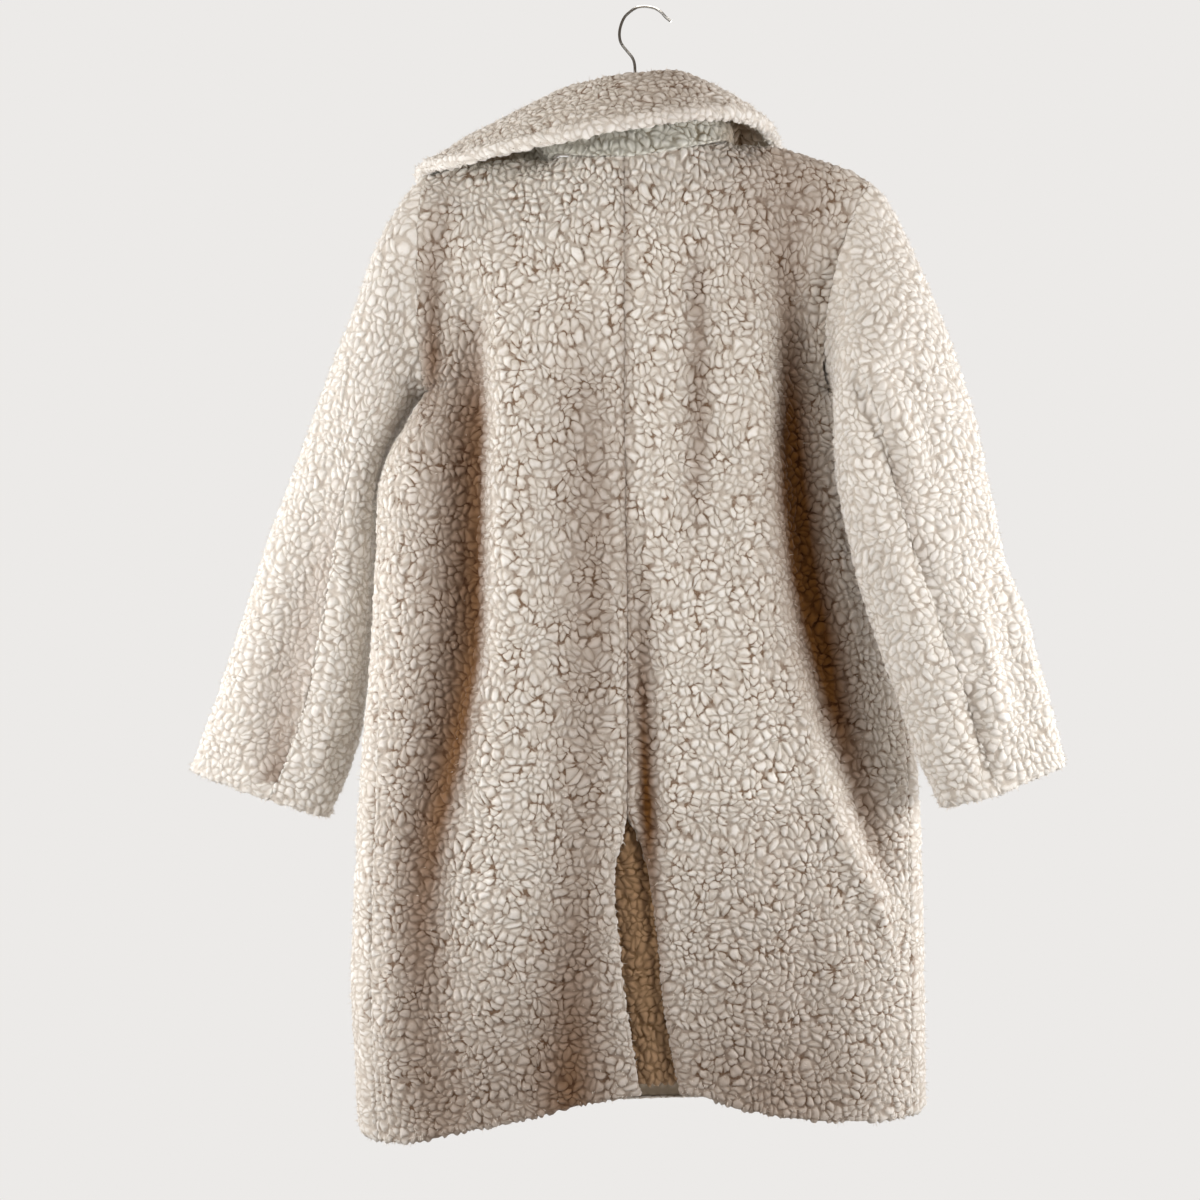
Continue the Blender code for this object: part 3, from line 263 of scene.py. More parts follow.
RIGHT_SLEEVE = Table(
    "outer_x outer_z inner_x inner_z back front bow skew seam_turn",
    (229, -178, 186, -384, -34, 30, -22, 0, 118), (241, -191, 188, -386, -42, 32, -22, -10, 117),
    (253, -216, 187, -389, -50, 30, -22, -20, 116), (265, -249, 185, -394, -60, 22, -18, -28, 114),
    (282, -298, 182, -404, -74, 6, -12, -32, 112), (301, -361, 181, -432, -86, -12, -4, -22, 110),
    (316, -422, 184, -480, -96, -26, 0, -10, 107), (328, -490, 194, -533, -101, -35, 0, -4, 104),
    (341, -552, 207, -586, -104, -40, 0, 0, 101), (361, -607, 222, -634, -104, -42, 0, 0, 99),
    (374, -656, 238, -677, -102, -44, 0, 0, 98), (388, -702, 255, -729, -99, -44, 0, 0, 97),
    (399, -748, 283, -790, -95, -44, 0, 0, 97),
)

# ---------------------------------------------------------------- the collar
# One row for each place round the neck, from the left front to the right front: the neck seam, the fold at
# the top of the stand, and the outer edge of the fall.
COLLAR = Table(
    "seam_x seam_y seam_z fold_x fold_y fold_z edge_x edge_y edge_z",
    (-70, 42, -226, -86, 66, -196, -176, 78, -262), (-84, 32, -186, -104, 52, -140, -214, 66, -228),
    (-92, 11, -152.5, -110, 18, -106, -228, 18, -168), (-88, -8, -150.5, -101, 4, -98, -215, -16, -165.5),
    (-80, -22, -153, -88, -8, -93, -192, -42, -170), (-55, -38, -160.5, -56, -22, -87, -130, -74, -164),
    (-19, -46, -163, -14, -31, -82, -42, -90, -151), (20, -43, -157, 26, -31, -79, 24, -88, -140),
    (56, -31, -147, 60, -19, -85, 72, -74, -132), (82, -6, -136.5, 88, 2, -96, 114, -30, -126),
    (86, 14, -143, 97, 22, -104, 134, 12, -130), (83, 30, -177, 100, 48, -128, 152, 62, -176),
    (70, 42, -216, 92, 66, -180, 168, 78, -252),
)

FOLD_ROUND = 0.011  # half the width of the roll at the top of the stand
FOLD_INNER = 0.010  # the same towards the neck
FOLD_DROP = 0.006  # how far down its outer side lies
FALL_RISE = 0.004  # how far the fall arches up between the roll and its edge


# ---------------------------------------------------------------- soft folds and shades
@dataclass(frozen=True)
class Crease:
    """A short crease or ridge: its two ends, seen from behind, its depth and its width."""

    x0: float
    z0: float
    x1: float
    z1: float
    depth: float
    width: float


# Soft folds of the panels, far shallower than those of the solids: broad swells (negative) and hollows.
BODY_SWELLS = folds(
    (
        (250, -128, 0, 22, 30), (380, -134, -6.5, 18, 34), (620, -132, -6, 18, 34), (760, -138, -5, 22, 26),
        (940, -146, -3.5, 26, 26), (1080, -150, 0, 26, 26),
    ),
    (
        (280, -60, 0, 16, 18), (400, -54, 4.2, 20, 20), (560, -50, 4.6, 22, 20), (760, -56, 3, 22, 18),
        (940, -68, 4.4, 24, 20), (1080, -70, 1, 24, 22),
    ),
    (
        (170, -4, 0, 7, 12), (300, 0, -3, 8, 14), (440, 6, -4.6, 10, 14), (540, 12, -4, 14, 16),
        (680, 24, 0, 14, 16),
    ),
    (
        (200, 44, 0, 14, 14), (300, 52, 4.6, 18, 14), (400, 53, 5.2, 18, 15), (500, 48, 3, 18, 18),
        (640, 42, 0, 18, 18),
    ),
    (
        (200, 86, 0, 22, 22), (320, 96, -6, 20, 22), (480, 102, -6.6, 22, 24), (640, 98, -5.4, 28, 28),
        (860, 88, -4, 34, 34), (1080, 92, 0, 34, 34),
    ),
    (
        (700, -206, 0, 16, 16), (820, -236, -3, 12, 14), (1000, -244, -4, 14, 18), (1110, -246, 0, 18, 18),
    ),
    (
        (800, -196, 0, 22, 22), (930, -202, 5, 22, 26), (1040, -206, 3.6, 24, 30), (1110, -206, 0, 24, 30),
    ),
    (
        (860, 150, 0, 20, 18), (960, 160, 5, 24, 20), (1060, 166, 3.6, 28, 22), (1110, 168, 0, 28, 22),
    ),
    (
        (700, 176, 0, 10, 10), (760, 184, -5, 11, 10), (830, 204, -6.5, 12, 10), (890, 226, -5, 12, 10),
        (960, 240, 0, 14, 10),
    ),
)

SLEEVE_SWELLS = {
    "left": folds(
        (
            (400, -296, 0, 18, 18), (500, -318, 5, 22, 22), (600, -344, 7, 24, 24), (690, -366, 7, 24, 22),
            (760, -380, 3, 20, 18),
        ),
        (
            (360, -252, 0, 22, 12), (440, -268, -9, 26, 12), (540, -282, -13, 30, 13), (640, -296, -13, 30, 14),
            (740, -314, -8, 26, 14), (820, -326, 0, 20, 14),
        ),
    ),
    "right": folds(
        (
            (230, 196, 0, 20, 40), (330, 206, -5, 18, 50), (430, 214, -7, 16, 60), (560, 236, -9, 14, 70),
            (680, 266, -9, 14, 70), (780, 296, -6, 14, 60),
        ),
        (
            (440, 306, 0, 18, 14), (520, 318, 3.6, 20, 14), (620, 338, 4.4, 20, 14), (720, 362, 3, 20, 14),
            (780, 374, 0, 20, 14),
        ),
    ),
}

CREASES = tuple(Crease(*(size / 1000 for size in row)) for row in (
    (190, -372, 240, -500, 9.5, 8.5), (206, -360, 262, -480, -5.2, 10), (198, -374, 262, -390, 3, 6),
    (182, -400, 226, -560, -6, 8.5), (240, -520, 290, -660, 6, 10), (292, -660, 326, -775, 7, 8.5),
    (282, -735, 318, -700, 2.6, 11), (304, -590, 336, -720, -5.6, 11), (-224, -366, -250, -450, 3, 8),
    (-196, -240, -200, -380, 3, 10), (-300, -720, -318, -782, 4, 7), (-104, -300, -100, -370, 2.4, 4),
    (-60, -230, -58, -300, 2, 4), (70, -180, 76, -260, 2, 6), (130, -170, 136, -300, 3, 14),
    (-150, -996, -40, -1010, 1.6, 9), (80, -1020, 190, -1030, 1.6, 9), (-104, -560, -92, -820, -1.8, 26),
))

# Painted shade: how much the pile's colour is darkened and warmed, standing in for the shadow and the light off
# more pile in the long troughs, and for the dimmer light at the hem, the right shoulder, beside the middle and along
# the centre-back seam: the depth column is a share in thousandths.
PAINTED_SHADES = folds(
    (  # the left trough
        (290, -162, 0, 20, 7), (350, -162, 600, 36, 9), (430, -161, 920, 50, 11), (620, -162, 960, 54, 11),
        (720, -177, 970, 50, 15), (820, -201, 920, 42, 20), (900, -214, 740, 32, 26), (1000, -216, 440, 30, 34),
        (1110, -200, 300, 34, 40),
    ),
    (  # the right trough
        (220, 136, 0, 18, 20), (300, 140, 450, 16, 20), (420, 143, 1000, 18, 28), (540, 154, 1000, 20, 32),
        (630, 171, 1000, 20, 34), (720, 192, 920, 18, 28), (800, 216, 600, 14, 24), (880, 238, 0, 12, 18),
    ),
    (  # into the vent
        (500, -6, 0, 6, 10), (600, -4, 450, 8, 12), (700, -2, 850, 9, 13), (780, 1, 1000, 10, 13),
        (860, 6, 700, 12, 10), (960, 14, 450, 12, 8), (1060, 30, 200, 12, 8),
    ),
    (  # right of the middle
        (230, 48, 0, 12, 10), (310, 52, 500, 14, 10), (420, 52, 550, 14, 10), (560, 46, 0, 14, 12),
    ),
    (  # beside the left armhole
        (150, -188, 0, 24, 18), (210, -198, 320, 20, 16), (280, -207, 600, 14, 12), (350, -206, 700, 16, 10),
        (400, -212, 300, 14, 10), (440, -220, 0, 12, 10),
    ),
    (  # the right shoulder
        (120, 140, 500, 70, 70), (200, 140, 500, 70, 70), (280, 130, 260, 50, 60), (360, 120, 0, 40, 60),
    ),
    (  # left of the right trough
        (400, 126, 0, 26, 20), (500, 132, 340, 26, 20), (640, 148, 300, 30, 22), (760, 170, 0, 30, 20),
    ),
    (  # the hem on the left
        (860, -120, 0, 120, 120), (980, -120, 300, 120, 120), (1060, -120, 500, 120, 120),
        (1130, -120, 500, 120, 120),
    ),
    (  # the hem on the right
        (780, 120, 100, 120, 120), (980, 120, 400, 120, 120), (1060, 120, 600, 120, 120),
        (1130, 120, 640, 120, 120),
    ),
    (  # left of the middle
        (300, -56, 0, 30, 24), (440, -50, 460, 40, 26), (560, -48, 520, 40, 26), (760, -54, 460, 40, 28),
        (940, -66, 520, 36, 32), (1110, -70, 400, 34, 32),
    ),
    # the centre-back seam down to the vent
    tuple((drop, (left + right) / 2, 340 * (drop < 800), 5, 5) for drop, left, right in CENTRE_BACK.rows),
)

# Painted shade on the sleeves: taupe bands and the shade along their creases.
PAINTED_SLEEVE_SHADES = {
    "left": folds(
        (
            (440, -272, 0, 20, 20), (520, -302, 240, 22, 22), (600, -330, 360, 26, 24),
            (690, -354, 420, 30, 24), (740, -362, 550, 24, 20), (775, -366, 700, 20, 20),
        ),
        (
            (360, -214, 0, 10, 10), (430, -230, 300, 12, 8), (560, -250, 160, 10, 8), (700, -268, 0, 10, 8),
        ),
    ),
    "right": folds(
        (
            (385, 186, 0, 6, 6), (410, 196, 500, 6, 8), (470, 222, 450, 7, 14), (536, 243, 300, 7, 14),
            (600, 262, 120, 7, 10), (686, 298, 200, 7, 8), (743, 314, 400, 14, 8), (785, 316, 550, 26, 10),
        ),
    ),
}

# Painted shade on the top of the upper collar.
PAINTED_COLLAR_SHADES = folds(
    (
        (60, 34, 340, 60, 40), (110, 30, 280, 70, 50), (150, 30, 80, 80, 50), (190, 30, 0, 80, 50),
    ),
)
# Painted shade at both ends of the under collar, beneath the fall.
PAINTED_UNDER_COLLAR_SHADES = folds(
    (
        (50, 100, 600, 24, 30), (200, 100, 600, 24, 30),
    ),
    (
        (50, -146, 600, 30, 24), (250, -146, 600, 30, 24),
    ),
)
# Painted shade over the whole vent underlay, which lies behind the backs.
PAINTED_VENT_SHADES = folds(
    (
        (700, 10, 900, 200, 200), (1200, 10, 800, 200, 200),
    ),
)


# ---------------------------------------------------------------- curves through tables
def through(keys: np.ndarray, values: np.ndarray, wanted: np.ndarray) -> np.ndarray:
    """Read a smooth curve that never swings past its values.

    Args:
        keys: Places of the known values, rising.
        values: The known values.
        wanted: Places to read.

    Returns:
        The curve's value at each wanted place.
    """
    wanted = np.clip(wanted, keys[0], keys[-1])
    steps = np.diff(keys)
    rises = np.diff(values) / steps
    slopes = np.zeros(len(keys))
    same_way = rises[:-1] * rises[1:] > 0
    before = 2 * steps[1:] + steps[:-1]
    after = steps[1:] + 2 * steps[:-1]
    safe = np.where(same_way, rises[:-1], 1.0), np.where(same_way, rises[1:], 1.0)
    inner = (before + after) / (before / safe[0] + after / safe[1])
    slopes[1:-1] = np.where(same_way, inner, 0.0)
    slopes[0], slopes[-1] = rises[0], rises[-1]
    return hermite(keys, values, slopes, wanted)


def hermite(keys: np.ndarray, values: np.ndarray, slopes: np.ndarray, wanted: np.ndarray) -> np.ndarray:
    """Read a curve that has the given values and slopes.

    Args:
        keys: Places of the known values, rising.
        values: The known values.
        slopes: The curve's slope at each of them.
        wanted: Places to read.

    Returns:
        The curve's value at each wanted place.
    """
    spot = np.clip(np.searchsorted(keys, wanted, side="right") - 1, 0, len(keys) - 2)
    span = keys[spot + 1] - keys[spot]
    part = (wanted - keys[spot]) / span
    return (
        values[spot] * (1 + 2 * part) * (1 - part) ** 2
        + values[spot + 1] * part**2 * (3 - 2 * part)
        + slopes[spot] * span * part * (1 - part) ** 2
        - slopes[spot + 1] * span * part**2 * (1 - part)
    )


def level(line: Table, x: np.ndarray) -> np.ndarray:
    """Give the height of a line such as the hem at each x."""
    return through(line["x"], line["z"], x)


def signed_power(value: np.ndarray, power: float) -> np.ndarray:
    """Raise to a power and keep the sign, for rounded-square sections."""
    return np.sign(value) * np.abs(value) ** power


def smooth_step(value: np.ndarray) -> np.ndarray:
    """Go from 0 to 1 with flat ends."""
    value = np.clip(value, 0.0, 1.0)
    return value * value * (3 - 2 * value)


def fold_depth(paths: tuple[Table, ...], x: np.ndarray, z: np.ndarray) -> np.ndarray:
    """Sum the long folds at each point.

    Args:
        paths: Each fold's places down the coat.
        x: Where the points are across the coat.
        z: How high they are.

    Returns:
        How far each point is pushed into the coat; ridges are negative.
    """
    total = np.zeros_like(x)
    for fold in paths:
        drops = fold["drop"]
        inside = (-z >= drops[0]) & (-z <= drops[-1])
        path, depth, left, right = (through(drops, fold[name], -z) for name in ("x", "depth", "left", "right"))
        total += np.where(inside, depth * np.exp(-(((x - path) / np.where(x < path, left, right)) ** 2)), 0.0)
    return total


# ---------------------------------------------------------------- the form the cloth takes
@dataclass(frozen=True)
class SleeveForm:
    """The tube of one sleeve."""

    rings: Table

    def places(self) -> np.ndarray:
        """Give how far down the sleeve each ring lies, from 0 at the armhole to 1 at the cuff.

        Returns:
            One value for each ring.
        """
        middle_x, middle_z = ((self.rings["outer_" + axis] + self.rings["inner_" + axis]) / 2 for axis in "xz")
        reach = np.concatenate([[0.0], np.cumsum(np.hypot(np.diff(middle_x), np.diff(middle_z)))])
        return reach / reach[-1]

    def points(self, along: np.ndarray, turn: np.ndarray) -> np.ndarray:
        """Give points of the sleeve.

        Args:
            along: 0 at the armhole to 1 at the cuff.
            turn: Degrees from the outer point, round by the back.

        Returns:
            The points, their coordinates last.
        """
        places = self.places()
        row = {name: through(places, self.rings[name], along) for name in self.rings.names}
        across = signed_power(np.cos(np.radians(turn)), SLEEVE_POWER)
        depth = signed_power(np.sin(np.radians(turn)), SLEEVE_POWER)
        to_back, to_front = np.maximum(depth, 0.0), np.maximum(-depth, 0.0)
        middle = (row["back"] + row["front"]) / 2
        x, z = ((row["outer_" + axis] + row["inner_" + axis]) / 2
                + (row["outer_" + axis] - row["inner_" + axis]) / 2 * across for axis in "xz")
        y = middle + (row["back"] - middle) * to_back + (row["front"] - middle) * to_front
        return np.stack([x + row["bow"] * to_back**BOW_POWER, y + row["skew"] * (1 - across) / 2, z], axis=-1)

    def seam(self, along: np.ndarray) -> np.ndarray:
        """Give the turn of the sleeve's back seam at each place down the sleeve, in degrees."""
        return through(self.places(), self.rings["seam_turn"], along)

    def turns(self, along: np.ndarray, even: np.ndarray) -> np.ndarray:
        """Move even turns of 0 to 180 degrees so that one of them falls on the seam.

        Args:
            along: Places down the sleeve.
            even: The even turns.

        Returns:
            The moved turns.
        """
        seam = self.seam(along)
        even_seam = 180.0 * SEAM_STEP / ARM_ROWS
        first = even * seam / even_seam
        second = seam + (even - even_seam) * (180.0 - seam) / (180.0 - even_seam)
        return np.where(even <= even_seam, first, second)

    def upper(self, rows: np.ndarray, columns: np.ndarray) -> np.ndarray:
        """Give points of the upper sleeve, from its front seam over the top to its back seam."""
        along, across = np.meshgrid(rows, 2 * columns - 1, indexing="ij")
        return self.points(along, across * self.seam(along))

    def under(self, rows: np.ndarray, columns: np.ndarray) -> np.ndarray:
        """Give points of the under sleeve, from its back seam under the arm to its front seam.

        Args:
            rows: 0 at the armhole to 1 at the cuff.
            columns: 0 at the back seam to 1 at the front seam.

        Returns:
            The points, their coordinates last.
        """
        along, across = np.meshgrid(rows, columns, indexing="ij")
        seam = self.seam(along)
        return self.points(along, seam + across * (360.0 - 2 * seam))


SLEEVES = {"left": SleeveForm(LEFT_SLEEVE), "right": SleeveForm(RIGHT_SLEEVE)}


@dataclass(frozen=True)
class BodyForm:
    """One side of the body: its back panel and its front panel."""

    side: str

    @property
    def sleeve(self) -> SleeveForm:
        """Give the sleeve on this side."""
        return SLEEVES[self.side]

    @property
    def hem_z(self) -> float:
        """Give the height of the hem at the side."""
        return BACK_HEM["z"][0 if self.side == "left" else -1]

    def armhole(self, part: np.ndarray, to_back: bool) -> np.ndarray:
        """Give points of the armhole from the shoulder (part 0) to the underarm (part 1)."""
        turn = self.sleeve.turns(np.zeros_like(part), part * 180.0)
        return self.sleeve.points(np.zeros_like(part), turn if to_back else -turn)

    def starts(self, rows: np.ndarray, to_back: bool) -> tuple[np.ndarray, ...]:
        """Give what every row of a panel starts from, at the armhole and then at the side seam.

        Args:
            rows: 0 at the shoulder to 1 at the hem.
            to_back: Whether the panel is the back.

        Returns:
            The x, y and z of the start, and the side seam's turn in degrees.
        """
        arm_share = ARM_ROWS / (ARM_ROWS + SIDE_ROWS)
        arm = self.armhole(np.clip(rows / arm_share, 0, 1), to_back)
        part = np.clip((rows - arm_share) / (1 - arm_share), 0, 1)
        drops = SECTIONS["drop"]
        drop = drops[0] + part * (-self.hem_z - drops[0])
        wide, lies, seam = (through(drops, SECTIONS[self.side + name], drop) for name in ("_x", "_y", "_turn"))
        below = rows > arm_share
        at_arm = (*arm.T, np.zeros_like(rows))
        return tuple(np.where(below, low, high) for low, high in zip((wide, lies, -drop, seam), at_arm))

    def share(self, start_z: np.ndarray) -> np.ndarray:
        """Give how far from the shoulder to the hem a row's start lies, 0 to 1."""
        shoulder = self.sleeve.rings["outer_z"][0]
        return (start_z - shoulder) / (self.hem_z - shoulder)

    def row_top(self, share: np.ndarray, columns: np.ndarray, x_top: np.ndarray) -> np.ndarray:
        """Give the height a row starts from: the shoulder line, then straight across below the underarm.

        Args:
            share: How far from the shoulder to the hem the rows lie, 0 to 1.
            columns: 0 at the side to 1 at the middle.
            x_top: Where the columns meet the shoulder line.

        Returns:
            The height at every row and column.
        """
        line = level(TOP_LINE, x_top)
        straight = self.sleeve.rings["outer_z"][0] * (1 - columns) + line[-1] * columns
        return line[None, :] + (straight - line)[None, :] * smooth_step(share / LEVEL_SHARE)

    def back(self, rows: np.ndarray, columns: np.ndarray) -> np.ndarray:
        """Give points of the back panel.

        Args:
            rows: 0 at the shoulder to 1 at the hem.
            columns: 0 at the side to 1 at the centre back.

        Returns:
            The points, their coordinates last.
        """
        start_x, start_y, start_z, seam = (v[:, None] for v in self.starts(rows, True))
        at_side = self.share(start_z)
        middle = centre_share(rows)
        share = at_side + (middle[:, None] - at_side) * columns[None, :]
        drops = CENTRE_BACK["drop"]
        centre_x = through(drops, CENTRE_BACK[self.side], drops[0] + middle * (drops[-1] - drops[0]))
        turn = np.radians(seam + (90.0 - seam) * columns[None, :])
        yoke = yoke_share(start_z)
        round_x = signed_power(np.cos(turn), SECTION_POWER) * (1 - yoke) + (1 - columns[None, :]) * yoke
        round_y = signed_power(np.sin(turn), SECTION_POWER) * (1 - yoke)
        round_y = round_y + (1 - (1 - columns[None, :]) ** YOKE_POWER) * yoke
        x = MIDDLE_X + (start_x - MIDDLE_X) * round_x
        x = x + (centre_x[:, None] - MIDDLE_X) * columns[None, :] ** CENTRE_EASE
        nape_x = CENTRE_BACK["left"][0]
        x_top = nape_x + (self.sleeve.rings["outer_x"][0] - nape_x) * (1 - columns)
        z = self.row_top(share, columns, x_top) * (1 - share) + level(BACK_HEM, x) * share
        z = z + (start_z - z[:, :1]) * (1 - columns[None, :]) ** SIDE_EASE
        below = level(TOP_LINE, x_top)[None, :] - z
        spread = smooth_step(below / NAPE_REACH)
        nape = np.clip(((x_top - nape_x) / (NECK[self.side] - nape_x))[None, :] / (1 + NAPE_SPREAD * spread), 0, 1)
        nape = (1 - nape**2) ** (0.5 + NAPE_FADE * spread)
        stand = stands("shoulder", below) * (1 - nape) + stands("nape", below) * nape
        armhole_y = (seam == 0.0) * start_y
        side_y = (seam > 0.0) * start_y
        y = -stand * round_y + side_y * (1 - round_y) + armhole_y * (1 - columns[None, :]) ** ARMHOLE_EASE
        y = y + fold_depth(BACK_FOLDS, x, z) * smooth_step(FOLD_FADE * np.sin(turn))
        return np.stack(np.broadcast_arrays(x, y, z), axis=-1)

    def front(self, rows: np.ndarray, columns: np.ndarray) -> np.ndarray:
        """Give points of the front panel.

        Args:
            rows: 0 at the shoulder to 1 at the hem.
            columns: 0 at the side to 1 at the roll line or the front edge.

        Returns:
            The points, their coordinates last.
        """
        start_x, start_y, start_z, seam = (v[:, None] for v in self.starts(rows, False))
        edge = FRONT_EDGES[self.side]
        share = self.share(start_z)
        edge_drop = edge["drop"][0] * (1 - share) - level(FRONT_HEM, edge["x"][-1]) * share
        edge_x = through(edge["drop"], edge["x"], edge_drop)
        reach = np.clip((edge_x - MIDDLE_X) / (start_x - MIDDLE_X), -1, 1)
        last = np.degrees(np.arccos(signed_power(reach, 1 / SECTION_POWER)))
        turn = np.radians(seam - (last + seam) * columns[None, :])
        yoke = yoke_share(start_z)
        straight = 1 - (1 - reach) * columns[None, :]
        round_x = signed_power(np.cos(turn), SECTION_POWER) * (1 - yoke) + straight * yoke
        round_y = signed_power(np.sin(-turn), SECTION_POWER) * (1 - yoke)
        round_y = round_y + (1 - np.abs(straight) ** YOKE_POWER) * yoke
        x = MIDDLE_X + (start_x - MIDDLE_X) * round_x
        shoulder_x = self.sleeve.rings["outer_x"][0]
        x_top = shoulder_x + (edge["x"][0] - shoulder_x) * columns
        z = self.row_top(share, columns, x_top) * (1 - share) + level(FRONT_HEM, x) * share
        z = z + (start_z - z[:, :1]) * (1 - columns[None, :]) ** SIDE_EASE
        below = level(TOP_LINE, x_top)[None, :] - z
        armhole_y = (seam == 0.0) * start_y
        side_y = (seam > 0.0) * start_y
        front_y = stands("front", below) * np.maximum(round_y, 0) + stands("shoulder", below) * np.minimum(round_y, 0)
        y = front_y + side_y * (1 - np.abs(round_y)) + armhole_y * (1 - columns[None, :]) ** ARMHOLE_EASE
        y = y + fold_depth(BACK_FOLDS, x, z) * smooth_step(FOLD_FADE * np.sin(turn))
        y = y - fold_depth(FRONT_FOLDS, x, z) * smooth_step(-FOLD_FADE * np.sin(turn))
        if self.side == "left":
            under = smooth_step((x + FRONT_OVERLAP + UNDER_LAP_START) / UNDER_LAP_RUN)
            y = y - UNDER_LAP * under * smooth_step(below / UNDER_LAP_DROP)
        return np.stack(np.broadcast_arrays(x, y, z), axis=-1)

    def lapel(self, rows: np.ndarray, columns: np.ndarray) -> np.ndarray:
        """Give the outer skin of the lapel, which lies on the front panel.

        Args:
            rows: 0 at the notch to 1 at the bottom.
            columns: 0 at the outer edge to 1 at the roll line.

        Returns:
            The points, their coordinates last.
        """
        steps = LAPEL_LAST_ROW[self.side] - LAPEL_FIRST_ROW
        panel_rows = (LAPEL_FIRST_ROW + rows * steps) / (ARM_ROWS + SIDE_ROWS)
        places = np.linspace(0, 1, LAPEL_PROBES)
        field_points = self.front(panel_rows, places)
        up = normals_of(field_points, outward_sign(field_points, INSIDE))
        width = LAPEL_WIDTH * (1 - rows) ** LAPEL_CURVE + LAPEL_POINT
        low, above = np.empty((2, len(rows), len(columns), 3))
        for k, axis in np.ndindex(len(rows), 3):
            wanted = 1 - width[k] + (LAPEL_ROLL - 1 + width[k]) * columns
            low[k, :, axis] = np.interp(wanted, places, field_points[k, :, axis])
            above[k, :, axis] = np.interp(wanted, places, up[k, :, axis])
        lift = LAPEL_CLEAR + LAPEL_THICK + LAPEL_LIFT * (1 - columns)
        return low + above * lift[None, :, None]


BODIES = {side: BodyForm(side) for side in SLEEVES}


def stands(part: str, below: np.ndarray) -> np.ndarray:
    """Give how far the cloth of a part stands out from the hanger's plane, below the shoulder line."""
    return through(DEPTHS["below"], DEPTHS[part], below)


def yoke_share(start_z: np.ndarray) -> np.ndarray:
    """Give 1 beside the armhole, where a panel runs straight across, fading to 0 at the underarm."""
    return smooth_step((start_z + SECTIONS["drop"][0]) / YOKE_FADE)


def centre_share(rows: np.ndarray) -> np.ndarray:
    """Give how far down the centre back each row lies, the mean of its places on the two sides."""
    return sum(form.share(form.starts(rows, True)[2]) for form in BODIES.values()) / 2


def vent_underlay(rows: np.ndarray, columns: np.ndarray) -> np.ndarray:
    """Give points of the strip behind the vent's two edges.

    Args:
        rows: 0 at its top to 1 at its hem.
        columns: 0 at its left to 1 at its right.

    Returns:
        The points, their coordinates last.
    """
    drop, x = np.meshgrid(VENT_TOP + rows * (VENT_HEM - VENT_TOP), VENT_LEFT + columns * (VENT_RIGHT - VENT_LEFT),
                          indexing="ij")
    stand = stands("nape", drop - CENTRE_BACK["drop"][0])
    y = -stand + fold_depth(BACK_FOLDS, x, -drop) + CLOTH + VENT_CLEAR
    y = y + VENT_CUP * smooth_step(np.abs(x - VENT_MIDDLE) / VENT_HALF)
    return np.stack([x, y, -drop], axis=-1)


def collar_middle(rows: np.ndarray, columns: np.ndarray) -> np.ndarray:
    """Give points of the surface between the collar's two layers.

    Args:
        rows: 0 at the neck seam to 1 at the outer edge.
        columns: 0 at the left front to 1 at the right front.

    Returns:
        The points, their coordinates last.
    """
    places = np.linspace(0.0, 1.0, len(COLLAR.rows))
    row = {name: through(places, COLLAR[name], columns) for name in COLLAR.names}
    seam, fold, edge = (np.stack([row[f"{part}_{axis}"] for axis in "xyz"], axis=-1)
                        for part in ("seam", "fold", "edge"))
    out = edge - fold
    out[:, 2] = 0.0
    out = unit(out)
    up = np.array([0.0, 0.0, 1.0])
    inner = fold - out * FOLD_INNER - up * FOLD_ROUND
    outer = fold + out * FOLD_ROUND - up * FOLD_DROP
    middle = (outer + edge) / 2 + up * FALL_RISE
    posts = np.stack([seam, (seam + inner) / 2, inner, fold, outer, middle, edge])
    lengths = np.linalg.norm(np.diff(posts, axis=0), axis=2)
    keys = np.concatenate([[0.0], np.cumsum(lengths.mean(axis=1))])
    keys /= keys[-1]
    grid = np.empty((len(rows), len(columns), 3))
    for k, axis in np.ndindex(len(columns), 3):
        grid[:, k, axis] = hermite(keys, posts[:, k, axis], np.gradient(posts[:, k, axis], keys), rows)
    return grid


def collar_layer(up: float) -> Surface:
    """Give the outer skin of one of the collar's layers.

    Args:
        up: 1 for the upper collar and -1 for the under collar.

    Returns:
        The layer's surface.
    """

    def surface(rows: np.ndarray, columns: np.ndarray) -> np.ndarray:
        """Give points of the layer's skin.

        Args:
            rows: 0 at the neck seam to 1 at the outer edge.
            columns: 0 at the left front to 1 at the right front.

        Returns:
            The points, their coordinates last.
        """
        middle = collar_middle(rows if up > 0 else rows * UNDER_COLLAR_SHARE, columns)
        normal = normals_of(middle, 1)
        if normal[-1, len(columns) // 2, 1] > 0:
            normal = -normal
        return middle + normal * up * (CLOTH + SEAM_GAP / 2)

    return surface


# ---------------------------------------------------------------- measuring grids of points
def unit(vectors: np.ndarray) -> np.ndarray:
    """Give vectors, their coordinates last, a length of one."""
    return vectors / np.linalg.norm(vectors, axis=-1, keepdims=True)


def normals_of(grid: np.ndarray, outward: int) -> np.ndarray:
    """Give the unit normals of a grid of points; outward is 1 or -1."""
    normal = np.cross(np.gradient(grid, axis=0), np.gradient(grid, axis=1)) * outward
    return normal / np.maximum(np.linalg.norm(normal, axis=2, keepdims=True), 1e-12)


def outward_sign(grid: np.ndarray, centre: Place) -> int:
    """Give 1 or -1, so that the normals of a grid point away from centre."""
    away = grid - np.asarray(centre)
    return 1 if (normals_of(grid, 1) * away).sum() > 0 else -1


